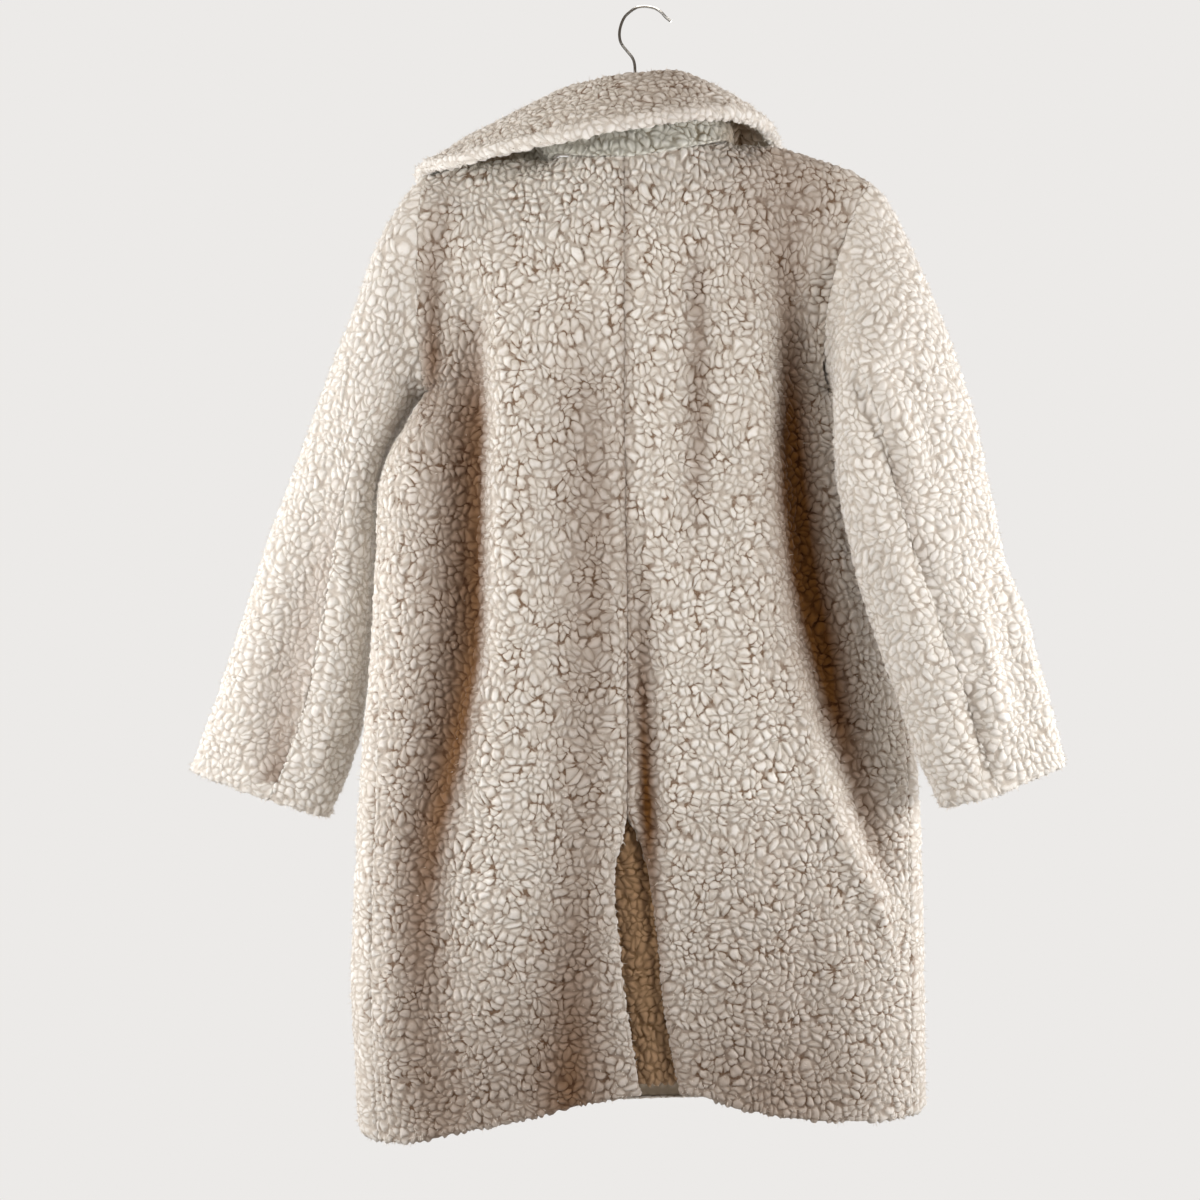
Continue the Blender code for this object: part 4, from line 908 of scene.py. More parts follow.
def running_length(grid: np.ndarray, axis: int) -> np.ndarray:
    """Give each point's length along its row or column from the first one.

    Args:
        grid: The points.
        axis: 0 to go down the rows, 1 to go along the columns.

    Returns:
        The lengths.
    """
    steps = np.linalg.norm(np.diff(grid, axis=axis), axis=2)
    lead = np.zeros((1, steps.shape[1]) if axis == 0 else (steps.shape[0], 1))
    return np.cumsum(np.concatenate([lead, steps], axis=axis), axis=axis)


def cell_areas(grid: np.ndarray) -> np.ndarray:
    """Give the area of every cell of a grid of points."""
    return np.linalg.norm(np.cross(grid[1:, :-1] - grid[:-1, :-1], grid[:-1, 1:] - grid[:-1, :-1]), axis=2)


def cells_of(rows: int, columns: int) -> np.ndarray:
    """Give the four corners of every cell of a grid whose points are counted row by row."""
    ids = np.arange(rows * columns).reshape(rows, columns)
    return np.stack([ids[:-1, :-1], ids[1:, :-1], ids[1:, 1:], ids[:-1, 1:]], axis=-1).reshape(-1, 4)


def on_border(rows: int, columns: int) -> np.ndarray:
    """Give which points of a grid lie on its border.

    Args:
        rows: Its number of rows.
        columns: Its number of columns.

    Returns:
        True for each point of the border.
    """
    border = np.ones((rows, columns), dtype=bool)
    border[1:-1, 1:-1] = False
    return border


def ring_of(top: int, left: int, bottom: int, right: int) -> list[tuple[int, int]]:
    """Give the places round a block of a grid, as rows and columns, from its top left corner."""
    over = [(top, k) for k in range(left, right)] + [(k, right) for k in range(top, bottom)]
    return over + [(bottom, k) for k in range(right, left, -1)] + [(k, left) for k in range(bottom, top, -1)]


def in_scene(name: str, data: bpy.types.ID) -> bpy.types.Object:
    """Make an object of a mesh, a lamp or a camera and put it in the scene.

    Args:
        name: The object's name.
        data: What it shows.

    Returns:
        The object.
    """
    made = bpy.data.objects.new(name, data)
    bpy.context.scene.collection.objects.link(made)
    return made


def even_places(length: float, step: float, stride: int, ends: tuple[float, ...]) -> np.ndarray:
    """Places along a length that are even but for finer ones at both ends, where edges are rolled.

    Args:
        length: The whole length.
        step: The distance between two places.
        stride: The number of gaps is a multiple of this.
        ends: The finer places at an end.

    Returns:
        The places, from 0 to length.
    """
    ends = np.array(ends)
    ends = ends[ends < length / 3]
    gaps = max(stride, round((length - 2 * ends[-1]) / step))
    gaps += -(gaps + 2 * (len(ends) - 1)) % stride
    inner = np.linspace(ends[-1], length - ends[-1], gaps + 1)
    return np.concatenate([ends[:-1], inner, length - ends[:-1][::-1]])


def sampled(surface: Surface, step: float, stride: int, ends: tuple[float, ...]) -> np.ndarray:
    """Sample a surface at even distances.

    Args:
        surface: The surface, over rows and columns from 0 to 1.
        step: The distance between neighbours.
        stride: The number of cells each way is a multiple of this.
        ends: The finer places at each end.

    Returns:
        The grid of points.
    """
    rows, columns = np.linspace(0, 1, PROBE_ROWS), np.linspace(0, 1, PROBE_COLUMNS)
    probe = surface(rows, columns)
    down = running_length(probe, 0).mean(axis=1)
    over = running_length(probe, 1).mean(axis=0)
    wanted_rows = np.interp(even_places(down[-1], step, stride, ends), down, rows)
    wanted_columns = np.interp(even_places(over[-1], step, stride, ends), over, columns)
    return surface(wanted_rows, wanted_columns)


def flattened(grid: np.ndarray) -> np.ndarray:
    """Lay a piece flat with as little stretching as its form allows.

    Args:
        grid: The points of the piece.

    Returns:
        Where each point lies on the flat cloth, in metres, the second value counted downwards.
    """
    rows, columns = (np.unique(np.append(np.arange(0, n, UNWRAP_STEP), n - 1)) for n in grid.shape[:2])
    coarse = grid[np.ix_(rows, columns)]
    size = coarse.shape[:2]
    mesh = bpy.data.meshes.new("flat")
    mesh.from_pydata(coarse.reshape(-1, 3).tolist(), [], cells_of(*size).tolist())
    mesh.uv_layers.new(name="flat")
    piece = in_scene("flat", mesh)
    bpy.context.view_layer.objects.active = piece
    piece.select_set(True)
    bpy.ops.object.mode_set(mode="EDIT")
    bpy.ops.mesh.select_all(action="SELECT")
    bpy.ops.uv.unwrap(method="ANGLE_BASED", margin=0.0)
    bpy.ops.object.mode_set(mode="OBJECT")
    corners = np.empty(len(mesh.loops) * 2, dtype=np.float32)
    mesh.uv_layers[0].data.foreach_get("uv", corners)
    vertices = np.empty(len(mesh.loops), dtype=np.int32)
    mesh.loops.foreach_get("vertex_index", vertices)
    bpy.data.objects.remove(piece)
    bpy.data.meshes.remove(mesh)
    flat = np.empty((size[0] * size[1], 2))
    flat[vertices] = corners.reshape(-1, 2)
    flat = flat.reshape(*size, 2)
    real, drawn = (sum(np.linalg.norm(np.diff(points, axis=axis), axis=2).sum() for axis in (0, 1))
                   for points in (coarse, flat))
    flat *= real / drawn
    spread = flat.reshape(-1, 2) - flat.mean(axis=(0, 1))
    fall = np.linalg.lstsq(spread, -coarse[:, :, 2].ravel() + coarse[:, :, 2].mean(), rcond=None)[0]
    fall /= np.linalg.norm(fall)
    turned = spread @ np.array([[fall[1], fall[0]], [-fall[0], fall[1]]])
    turned = turned.reshape(*size, 2)
    over = np.stack([np.interp(np.arange(grid.shape[1]), columns, line)
                     for line in turned.transpose(0, 2, 1).reshape(-1, len(columns))])
    over = over.reshape(len(rows), 2, -1)
    whole = np.empty(grid.shape[:2] + (2,))
    for k, axis in np.ndindex(grid.shape[1], 2):
        whole[:, k, axis] = np.interp(np.arange(grid.shape[0]), rows, over[:, axis, k])
    return whole


def creases_at(grid: np.ndarray, normals: np.ndarray, creases: tuple[Crease, ...]) -> np.ndarray:
    """Work out the short creases of a grid's side that faces backwards.

    Args:
        grid: The points.
        normals: Their outward normals.
        creases: The creases to press in.

    Returns:
        How deep each point is pressed.
    """
    depth = np.zeros(grid.shape[:2])
    for crease in creases:
        start = np.array([crease.x0, crease.z0])
        along = np.array([crease.x1, crease.z1]) - start
        flat = grid[:, :, (0, 2)] - start
        part = np.clip((flat @ along) / (along @ along), 0, 1)
        away = np.linalg.norm(flat - part[:, :, None] * along, axis=2)
        fade = smooth_step(part * 4) * smooth_step((1 - part) * 4)
        depth += crease.depth * np.exp(-((away / crease.width) ** 2)) * fade * smooth_step(-normals[:, :, 1] * 2)
    return depth


# ---------------------------------------------------------------- nodes
FLAT_NOISE = {"noise_dimensions": "2D"}
FLAT_CELLS = {"voronoi_dimensions": "2D"}


def linear(colour: str) -> tuple[float, float, float, float]:
    """Turn an sRGB hex value into linear colour with full alpha.

    Args:
        colour: The value, such as #FFFFFF.

    Returns:
        Its red, green, blue and alpha.
    """
    parts = [int(colour.lstrip("#")[k : k + 2], 16) / 255 for k in (0, 2, 4)]
    red, green, blue = (c / 12.92 if c <= 0.04045 else ((c + 0.055) / 1.055) ** 2.4 for c in parts)
    return red, green, blue, 1.0


def set_inputs(node: bpy.types.Node, inputs: dict) -> None:
    """Link or set a node's inputs.

    Args:
        node: The node.
        inputs: For each input, by name or number, its value, or the socket or node that is linked to it. A node
            gives the first output that is in use.
    """
    for key, value in inputs.items():
        if isinstance(value, bpy.types.Node):
            value = next(socket for socket in value.outputs if socket.enabled)
        if isinstance(value, bpy.types.NodeSocket):
            node.id_data.links.new(value, node.inputs[key])
        else:
            node.inputs[key].default_value = value


def add_node(tree: bpy.types.NodeTree, kind: str, inputs: dict | None = None, **settings: object) -> bpy.types.Node:
    """Add a node with its settings and links.

    Args:
        tree: The tree it goes into.
        kind: The node's type, of which a leading ShaderNode may be left out.
        inputs: What its inputs are linked or set to.
        settings: The node's own settings.

    Returns:
        The node.
    """
    node = tree.nodes.new(kind if "Node" in kind else "ShaderNode" + kind)
    for name, value in settings.items():
        setattr(node, name, value)
    set_inputs(node, inputs or {})
    return node


@dataclass(frozen=True)
class Curls:
    """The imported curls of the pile, as they lie on the backing."""

    width: float = 7.6 * MM  # of a usual curl
    lobe: float = 3.6 * MM  # of the small bunches in it
    fibre: float = 0.9 * MM  # strands, drawn three times as coarse as they are so that they show
    wander: float = 3.0 * MM  # how far the curls' outlines wander
    fray: float = 1.2 * MM  # the same for the small crooks in the outlines
    crowding: float = 6.5 * MM  # how far curls are pushed together and apart, which makes them uneven in size
    height: float = 2.6 * MM  # from the crevices to the tops

    def pattern(self, add: Adder, cloth: object) -> dict[str, object]:
        """Add the nodes of the curls; the shape and the finish of the pile share them.

        Args:
            add: Adds a node to a tree of geometry or of shader nodes.
            cloth: What gives where each point lies on the flat cloth, in metres.

        Returns:
            What gives the height (0 to 1), how deep in a crevice a point is (0 to 1), and a chance value of each
            curl.
        """
        place = cloth
        for reach, size in ((self.crowding, 42 * MM), (self.wander, 12 * MM), (self.fray, 4 * MM)):
            stir = add("TexNoise", {"Vector": place, "Scale": 1 / size, "Detail": 0.0}, **FLAT_NOISE)
            centred = add("VectorMath", {0: stir.outputs["Color"], 1: (0.5,) * 3}, operation="SUBTRACT")
            place = add("VectorMath", {0: centred, 1: (reach * 2,) * 3, 2: place}, operation="MULTIPLY_ADD")
        edge, curl, lobes = (
            add("TexVoronoi", {"Vector": place, "Scale": 1 / size, "Randomness": strewn}, feature=kind, **FLAT_CELLS)
            for size, strewn, kind in ((self.width, 0.88, "DISTANCE_TO_EDGE"), (self.width, 0.88, "F1"),
                                       (self.lobe, 1.0, "F1")))
        chance = add("SeparateXYZ", {0: curl.outputs["Color"]})
        corner = add("MapRange", {0: curl, 1: 0.36, 2: 0.76, 3: 0.0, 4: 0.20})
        off = add("Math", {0: edge, 1: corner}, operation="SUBTRACT")
        slope = add("MapRange", {0: off, 1: 0.0, 2: 0.42, 3: 1.0, 4: 0.0})
        steep = add("Math", {0: slope, 1: 2.0}, operation="POWER")
        dome = add("Math", {0: 1.0, 1: steep}, operation="SUBTRACT")
        tall = add("MapRange", {0: chance, 3: 0.62, 4: 1.0})
        scaled = add("Math", {0: dome, 1: tall}, operation="MULTIPLY")
        bunch = add("Math", {0: lobes, 1: -0.22, 2: scaled}, operation="MULTIPLY_ADD")
        gap = add("MapRange", {0: off, 1: -0.03, 2: 0.060, 3: 1.0, 4: 0.0}, interpolation_type="SMOOTHSTEP")
        cleft = add("MapRange", {0: lobes, 1: 0.45, 2: 0.85, 3: 0.0, 4: 0.22})
        crevice = add("Math", {0: gap, 1: cleft}, operation="MAXIMUM")
        return {"height": bunch, "crevice": crevice, "chance": chance.outputs[1]}


class PileShape:
    """Raises the curls of the pile out of a piece's smooth skin."""

    def __init__(self, curls: Curls) -> None:
        """Make the tree of nodes that every piece of cloth shares.

        Args:
            curls: The curls that it raises.
        """
        self.tree = bpy.data.node_groups.new("curls_raised", "GeometryNodeTree")
        for way in ("INPUT", "OUTPUT"):
            self.tree.interface.new_socket("Geometry", in_out=way, socket_type="NodeSocketGeometry")
        add = partial(add_node, self.tree)
        cloth, rise = (add("GeometryNodeInputNamedAttribute", {"Name": name}, data_type=kind)
                       for name, kind in (("cloth", "FLOAT_VECTOR"), ("rise", "FLOAT")))
        curl = curls.pattern(add, cloth)
        swell, rough = (add("TexNoise", {"Vector": cloth, "Scale": 1 / size, "Detail": 1.0}, **FLAT_NOISE)
                        for size in (55 * MM, 3.2 * MM))
        risen = -1.6 * MM
        for value, height in ((swell, 3.2 * MM), (rough, 0.9 * MM), (curl["height"], curls.height)):
            risen = add("Math", {0: value, 1: height, 2: risen}, operation="MULTIPLY_ADD")
        share = add("Math", {0: risen, 1: rise}, operation="MULTIPLY")
        way = add("VectorMath", {0: add("GeometryNodeInputNormal"), 1: (0.0, 0.0, PILE_FALL)}, operation="ADD")
        offset = add("VectorMath", {0: way, "Scale": share}, operation="SCALE")
        moved = add("GeometryNodeSetPosition", {"Geometry": add("NodeGroupInput"), "Offset": offset})
        add("NodeGroupOutput", {0: moved})

    def apply(self, piece: bpy.types.Object) -> None:
        """Raise the pile of a piece, and keep the result as its mesh.

        Args:
            piece: The piece.
        """
        modifier = piece.modifiers.new("pile", "NODES")
        modifier.node_group = self.tree
        graph = bpy.context.evaluated_depsgraph_get()
        raised = bpy.data.meshes.new_from_object(piece.evaluated_get(graph), preserve_all_data_layers=True,
                                                 depsgraph=graph)
        piece.modifiers.clear()
        old, piece.data = piece.data, raised
        bpy.data.meshes.remove(old)
        raised.name = piece.name


# ---------------------------------------------------------------- finishes
@dataclass(frozen=True)
class Finish:
    """A finish, whose own class says what the real material is and what that gives the eye."""

    name: str

    def material(self) -> bpy.types.Material:
        """Make the material.

        Returns:
            The material.
        """
        material = bpy.data.materials.new(self.name)
        material.use_nodes = True
        tree = material.node_tree
        set_inputs(tree.nodes["Principled BSDF"], self.surface(partial(add_node, tree)))
        return material

    def surface(self, add: Adder) -> dict[str, object]:
        """Add the finish's nodes.

        Args:
            add: Adds a node to the material.

        Returns:
            What the shader's inputs are linked or set to.
        """
        raise NotImplementedError


@dataclass(frozen=True)
class FauxFur(Finish):
    """Curly faux fur: a knitted base with a matt polyester pile, crimped and tumbled into packed curls.

    The crimped strands scatter light, so the curls are soft and pale with no gloss. The narrow crevices between them
    are darker, partly the pile's own colour at the root and partly painted shade, and close up at random where the
    pile is combed over them. The curls' sides carry painted shade too, and both are painted paler where the pile faces
    sideways, on the sleeves and on rolled edges: painted light. The troughs, the hem and the seams get a warm painted
    shade.
    """

    name: str = "tumbled polyester fur"
    tips: str = "#F8F5F1"
    # the curls' sides, darker than the tips: painted shade
    sides: str = "#D9D1C7"
    # the pile's own darker colour at the root, and painted shade in the crevices
    roots_and_crevice_shade: str = "#7C6048"
    # colour multiplied into the pile as painted shade, by the share stored on the points
    painted_shade: str = "#7C552A"
    curls: Curls = Curls()

    def surface(self, add: Adder) -> dict[str, object]:
        """Add the nodes of the pile.

        Args:
            add: Adds a node to the material.

        Returns:
            What the shader's inputs are linked or set to.
        """
        cloth = add("Attribute", attribute_name="cloth").outputs["Vector"]
        painted_curl_shade, painted_shade = (add("Attribute", attribute_name=name).outputs["Fac"] for name in ("painted_curl_shade", "painted_shade"))
        curl = self.curls.pattern(add, cloth)
        strands, combed, joined = (
            add("TexNoise", {"Vector": cloth, "Scale": 1 / size, "Detail": detail, "Roughness": rough}, **FLAT_NOISE)
            for size, detail, rough in ((self.curls.fibre, 2.0, 0.6), (24 * MM, 2.0, 0.5), (6.5 * MM, 1.0, 0.5)))
        # Less painted curl shade starts the crowns lower, so the curls are painted paler: a painted highlight.
        low = add("Math", {0: painted_curl_shade, 1: 0.75, 2: -0.50}, operation="MULTIPLY_ADD")
        crown = add("MapRange", {0: curl["height"], 1: low, 2: 0.88})
        # Painted shade on each curl: its sides darker than its top.
        pile = add("Mix", {0: crown, 6: linear(self.sides), 7: linear(self.tips)}, data_type="RGBA")
        # Painted light: the crevice shade fades where the pile faces sideways, towards the side lamps; the two noises
        # vary it at random.
        facing = add("SeparateXYZ", {0: add("TexCoord").outputs["Normal"]})
        sideways = add("Math", {0: facing}, operation="ABSOLUTE")
        closed, opened, broken = (add("MapRange", dict(enumerate(spread))) for spread in (
            (sideways, 0.35, 0.95, 1.0, 0.25), (combed, 0.38, 0.62, 0.35, 1.0), (joined, 0.34, 0.56, 0.30, 1.0)))
        frayed = add("Math", {0: strands, 1: 0.9, 2: 0.45}, operation="MULTIPLY_ADD")
        dark = curl["crevice"]
        for share in (broken, painted_curl_shade, opened, closed, frayed):
            dark = add("Math", {0: dark, 1: share}, operation="MULTIPLY")
        # Crevices: partly the pile's own colour, partly painted shade.
        fur = add("Mix", {0: dark, 6: pile, 7: linear(self.roots_and_crevice_shade)}, data_type="RGBA")
        # Painted shade: the pile is multiplied towards that colour by its stored share.
        warm = add("Mix", {0: painted_shade, 6: fur, 7: linear(self.painted_shade)}, data_type="RGBA", blend_type="MULTIPLY")
        bright = 0.815
        for value, share in ((combed, 0.10), (curl["chance"], 0.09), (strands, 0.08)):
            bright = add("Math", {0: value, 1: share, 2: bright}, operation="MULTIPLY_ADD")
        tint = add("VectorMath", {0: warm, "Scale": bright}, operation="SCALE")
        relief = add("Math", {0: strands, 1: 0.22, 2: curl["height"]}, operation="MULTIPLY_ADD")
        bump = add("Bump", {"Height": relief, "Distance": 1.8 * MM, "Strength": 0.40})
        return {"Base Color": tint, "Normal": bump, "Roughness": 0.95, "Specular IOR Level": 0.08,
                "Sheen Weight": 0.22, "Sheen Roughness": 0.45}


@dataclass(frozen=True)
class LooseFibre(Finish):
    """Tufts of polyester fibre that stand out of the pile: pale and matt."""

    name: str = "loose polyester fibre"
    colour: str = "#EFE9E1"
    shade: str = "#DCD3C8"

    def surface(self, add: Adder) -> dict[str, object]:
        """Add the nodes of the tufts.

        Args:
            add: Adds a node to the material.

        Returns:
            What the shader's inputs are linked or set to.
        """
        place = add("TexCoord").outputs["Object"]
        clumps = add("TexNoise", {"Vector": place, "Scale": 1 / (9 * MM), "Detail": 1.0})
        colour = add("Mix", {0: clumps, 6: linear(self.colour), 7: linear(self.shade)}, data_type="RGBA")
        return {"Base Color": colour, "Roughness": 0.9, "Specular IOR Level": 0.15}


@dataclass(frozen=True)
class KnitBacking(Finish):
    """The inside of the fur cloth: a fine warp-knitted polyester base, matt, with rows of small loops."""

    name: str = "warp-knitted polyester backing"
    colour: str = "#D8CDBE"
    shade: str = "#B9AB98"
    loop: float = 1.6 * MM  # drawn coarser than its 0.8 mm so that it shows

    def surface(self, add: Adder) -> dict[str, object]:
        """Add the nodes of the loops.

        Args:
            add: Adds a node to the material.

        Returns:
            What the shader's inputs are linked or set to.
        """
        cloth = add("Attribute", attribute_name="cloth").outputs["Vector"]
        ribs, rows = (add("TexWave", {"Vector": cloth, "Scale": 1 / (self.loop * 20), "Distortion": 0.6},
                          wave_type="BANDS", bands_direction=way).outputs["Fac"] for way in "XY")
        loops = add("Math", {0: ribs, 1: rows}, operation="MULTIPLY")
        colour = add("Mix", {0: loops, 6: linear(self.shade), 7: linear(self.colour)}, data_type="RGBA")
        bump = add("Bump", {"Height": loops, "Distance": 0.3 * MM})
        return {"Base Color": colour, "Normal": bump, "Roughness": 0.9, "Specular IOR Level": 0.2}


@dataclass(frozen=True)
class BrightWire(Finish):
    """Drawn steel wire with a bright chrome plating: a hard mirror with faint lengthwise draw marks."""

    name: str = "bright plated steel wire"
    colour: str = "#C9C9C7"
    marks: float = 0.5 * MM

    def surface(self, add: Adder) -> dict[str, object]:
        """Add the nodes of the draw marks.

        Args:
            add: Adds a node to the material.

        Returns:
            What the shader's inputs are linked or set to.
        """
        place = add("TexCoord").outputs["Object"]
        drawn = add("TexNoise", {"Vector": place, "Scale": 1 / self.marks, "Detail": 3.0})
        return {"Base Color": linear(self.colour), "Metallic": 1.0,
                "Roughness": add("MapRange", {0: drawn, 3: 0.14, 4: 0.30}),
                "Normal": add("Bump", {"Height": drawn, "Distance": 0.02 * MM})}


@dataclass(frozen=True)
class MouldedBar(Finish):
    """Injection-moulded black polystyrene: smooth with a faint satin grain from the mould."""

    name: str = "moulded black polystyrene"
    colour: str = "#1B1A19"
    worn: str = "#2C2A28"
    grain: float = 0.6 * MM

    def surface(self, add: Adder) -> dict[str, object]:
        """Add the nodes of the grain.

        Args:
            add: Adds a node to the material.

        Returns:
            What the shader's inputs are linked or set to.
        """
        place = add("TexCoord").outputs["Object"]
        grain = add("TexNoise", {"Vector": place, "Scale": 1 / self.grain, "Detail": 2.0})
        colour = add("Mix", {0: grain, 6: linear(self.colour), 7: linear(self.worn)}, data_type="RGBA")
        bump = add("Bump", {"Height": grain, "Distance": 0.04 * MM})
        return {"Base Color": colour, "Normal": bump, "Roughness": 0.42}


# ---------------------------------------------------------------- pieces of cloth
class Slot(Enum):
    """The material slots of the coat's cloth."""

    OUTSIDE = "faux_fur"
    # fur for the pieces that lie in shadow: a shaded copy of the fur, painted shade
    IN_SHADE = "faux_fur_inner"


@dataclass(frozen=True)
class Border:
    """One border of a cut piece: rolled over where it is free, sunken where it is sewn."""

    free_below: float = math.inf  # height under which the border is free; above it, it is a seam
    dip: float = 1.6 * MM  # how far a seam sinks into the pile
    reach: float = 5.0 * MM  # how far from the seam

    def free(self, z: np.ndarray) -> np.ndarray:
        """Give the share, 0 to 1, by which the border is free at each height.

        Args:
            z: The heights.

        Returns:
            The shares.
        """
        if math.isfinite(self.free_below):
            return smooth_step((self.free_below - z) / FREE_FADE)
        return np.full_like(z, float(self.free_below > 0))


FREE = Border()
SEAM = Border(free_below=-math.inf)
HIDDEN_SEAM = Border(free_below=-math.inf, dip=0.3 * MM, reach=2.5 * MM)  # the pile meets over it
BORDERS = {"top": (0, slice(None)), "bottom": (-1, slice(None)), "start": (slice(None), 0), "end": (slice(None), -1)}


@dataclass(frozen=True)
class Kit:
    """What every piece of cloth is made with."""

    shape: PileShape
    furs: dict[Slot, bpy.types.Material]
    backing: bpy.types.Material
    fibre: bpy.types.Material
    around: Neighbours


@dataclass
class CutPiece:
    """A cut piece of fur cloth, made as a closed wall of pile and backing."""

    name: str
    node: str
    surface: Surface
    centre: Place = INSIDE
    fall_faces: int = 0  # for a collar layer: the way along Y that the fall's edge faces at the nape
    slot: Slot = Slot.OUTSIDE
    top: Border = SEAM
    bottom: Border = FREE
    start: Border = SEAM
    end: Border = SEAM
    lay: tuple[float, float] = (1.0, 1.0)  # length of the curls over their width, at the top and at the bottom
    step: float = 2.1 * MM
    wall: float = 5.4 * MM  # from the solid's skin to the inside
    sink: float = 1.0 * MM  # how far the crevices lie under the solid's skin
    rests_on: tuple[str, ...] = ("hanger_arms",)
    swells: tuple[Table, ...] = ()
    # tables of where shade is painted on the pile
    painted_shades: tuple[Table, ...] = ()
    stride: int = 3  # every how many points of the pile's skin the backing has one
    ends: tuple[float, ...] = EDGE_PLACES
    press: float = 1.0 * MM  # how much further the pile is pressed in where something lies on it
    nose: float = 3.4 * MM  # distance from a free edge over which it is rolled
    roll: float = 0.0  # how much thicker the wall is at its free edges, towards the inside
    puff: float = 0.0  # the same towards the outside
    stray: float = 28000.0  # tufts that stand out, on a square metre
    painted_curl_shade: float = 1.0  # share of painted shade in the crevices and on the curls' sides, 0 to 1; less of it is a painted highlight
    rim_painted_curl_shade: float = 0.6  # the same at a free edge, where a rolled edge is painted paler
    meeting: dict[str, tuple[np.ndarray, np.ndarray]] = field(default_factory=dict)  # half gaps to the next piece
    grid: np.ndarray = field(init=False)  # the form with its soft folds
    normals: np.ndarray = field(init=False)
    sign: int = field(init=False)  # 1 or -1, the way round of the grid that faces outwards
    kept: np.ndarray = field(init=False)  # which points of the grid the backing has too

    def lay_out(self) -> None:
        """Sample the piece's form and press its soft folds and creases in."""
        grid = sampled(self.surface, self.step, self.stride, self.ends)
        if self.fall_faces:
            self.sign = 1 if normals_of(grid, 1)[-1, grid.shape[1] // 2, 1] * self.fall_faces > 0 else -1
        else:
            self.sign = outward_sign(grid, self.centre)
        normals = normals_of(grid, self.sign)
        pressed = creases_at(grid, normals, CREASES)
        if self.swells:
            pressed += fold_depth(self.swells, grid[:, :, 0], grid[:, :, 2]) * np.abs(normals[:, :, 1]) ** 0.5
        self.grid = grid - normals * pressed[:, :, None]
        self.normals = normals_of(self.grid, self.sign)

    def build(self, index: int, kit: Kit) -> bpy.types.Object:
        """Build the piece.

        Args:
            index: The piece's place in the list, which shifts its curls.
            kit: What it is made with.

        Returns:
            The piece.
        """
        grid, normals = self.grid, self.normals
        wrap, roll, dip, rise, tuck, drawn = self.borders()
        crest = np.minimum(1.0, kit.around.room(self.node, grid, normals) / PILE_STAND)
        middle = -(self.wall + self.sink) / 2 + (self.puff - self.roll) / 2 * roll
        half = (self.wall - self.sink) / 2 + (self.puff + self.roll) / 2 * roll
        lift = middle + half * wrap - dip + np.minimum(0.0, (crest - 1) * self.press)
        outer = grid + tuck + normals * lift[:, :, None]
        inner = grid + drawn + normals * (middle - half)[:, :, None]
        self.close_seams(outer)
        piece = self.mesh(outer, inner, kit)
        painted_shade = self.painted_shade_shares()
        self.carry(piece, self.unrolled(outer), rise * crest, roll, painted_shade, index)
        kit.shape.apply(piece)
        # Fewer pale tufts stand where shade is painted.
        tufts = self.tufts(piece, rise * crest * (1 - painted_shade), roll, index, kit.fibre)
        self.declare(piece, tufts)
        return piece

    def close_seams(self, outer: np.ndarray) -> None:
        """Move the skin's sewn borders over half of the gap to the next piece, so that the two meet.

        Args:
            outer: Points of the pile's skin, which are changed.
        """
        for name, spot in BORDERS.items():
            edge = outer[spot]
            gap, opposed = self.meeting[name]
            sewn = 1 - getattr(self, name).free(edge[:, 2])
            edge += (gap + (self.grid[spot] - edge) * opposed[:, None]) * sewn[:, None]

    def unrolled(self, outer: np.ndarray) -> np.ndarray:
        """Lay the piece flat with the cloth of its rolled edges, of which there is more than on the form.

        Args:
            outer: Points of the pile's skin.

        Returns:
            How far over and down the cloth each point lies.
        """
        cloth = flattened(self.grid)
        extra = np.zeros_like(cloth)
        for axis, first, last in ((1, self.start, self.end), (0, self.top, self.bottom)):
            flat, real = running_length(self.grid, axis), running_length(outer, axis)
            more = np.diff(real - flat, axis=axis, prepend=0.0)
            after = flat.max(axis=axis, keepdims=True) - flat
            at_first, at_last = (
                np.cumsum(more * (away < self.nose) * border.free(self.grid[:, :, 2]), axis=axis)
                for away, border in ((flat, first), (after, last)))
            shift = at_last + at_first - at_first.max(axis=axis, keepdims=True)
            extra += unit(np.gradient(cloth, axis=axis)) * shift[:, :, None]
        return cloth + extra

    def painted_shade_shares(self) -> np.ndarray:
        """Work out the share of painted shade at each point, where it faces backwards, 0 to 1."""
        backwards = smooth_step(-self.normals[:, :, 1] * 2 + 0.5)
        return np.clip(fold_depth(self.painted_shades, self.grid[:, :, 0], self.grid[:, :, 2]) * backwards, 0, 1)

    def distances(self) -> dict[str, np.ndarray]:
        """Give how far each point lies from the top, bottom, start and end border."""
        down, over = running_length(self.grid, 0), running_length(self.grid, 1)
        return {"top": down, "bottom": down[-1:] - down, "start": over, "end": over[:, -1:] - over}

    def turn_to(self, shared: dict[str, np.ndarray]) -> None:
        """Turn the normals near each border to those that the pieces on both sides of the seam share.

        Args:
            shared: The shared normals of the top, bottom, start and end border.
        """
        distances = self.distances()
        normals = self.normals.copy()
        for border, wanted in shared.items():
            near = (1 - smooth_step(distances[border] / SHARED_REACH))[:, :, None]
            wanted = wanted[None, :, :] if border in ("top", "bottom") else wanted[:, None, :]
            normals += near * (wanted - normals)
        self.normals = unit(normals)

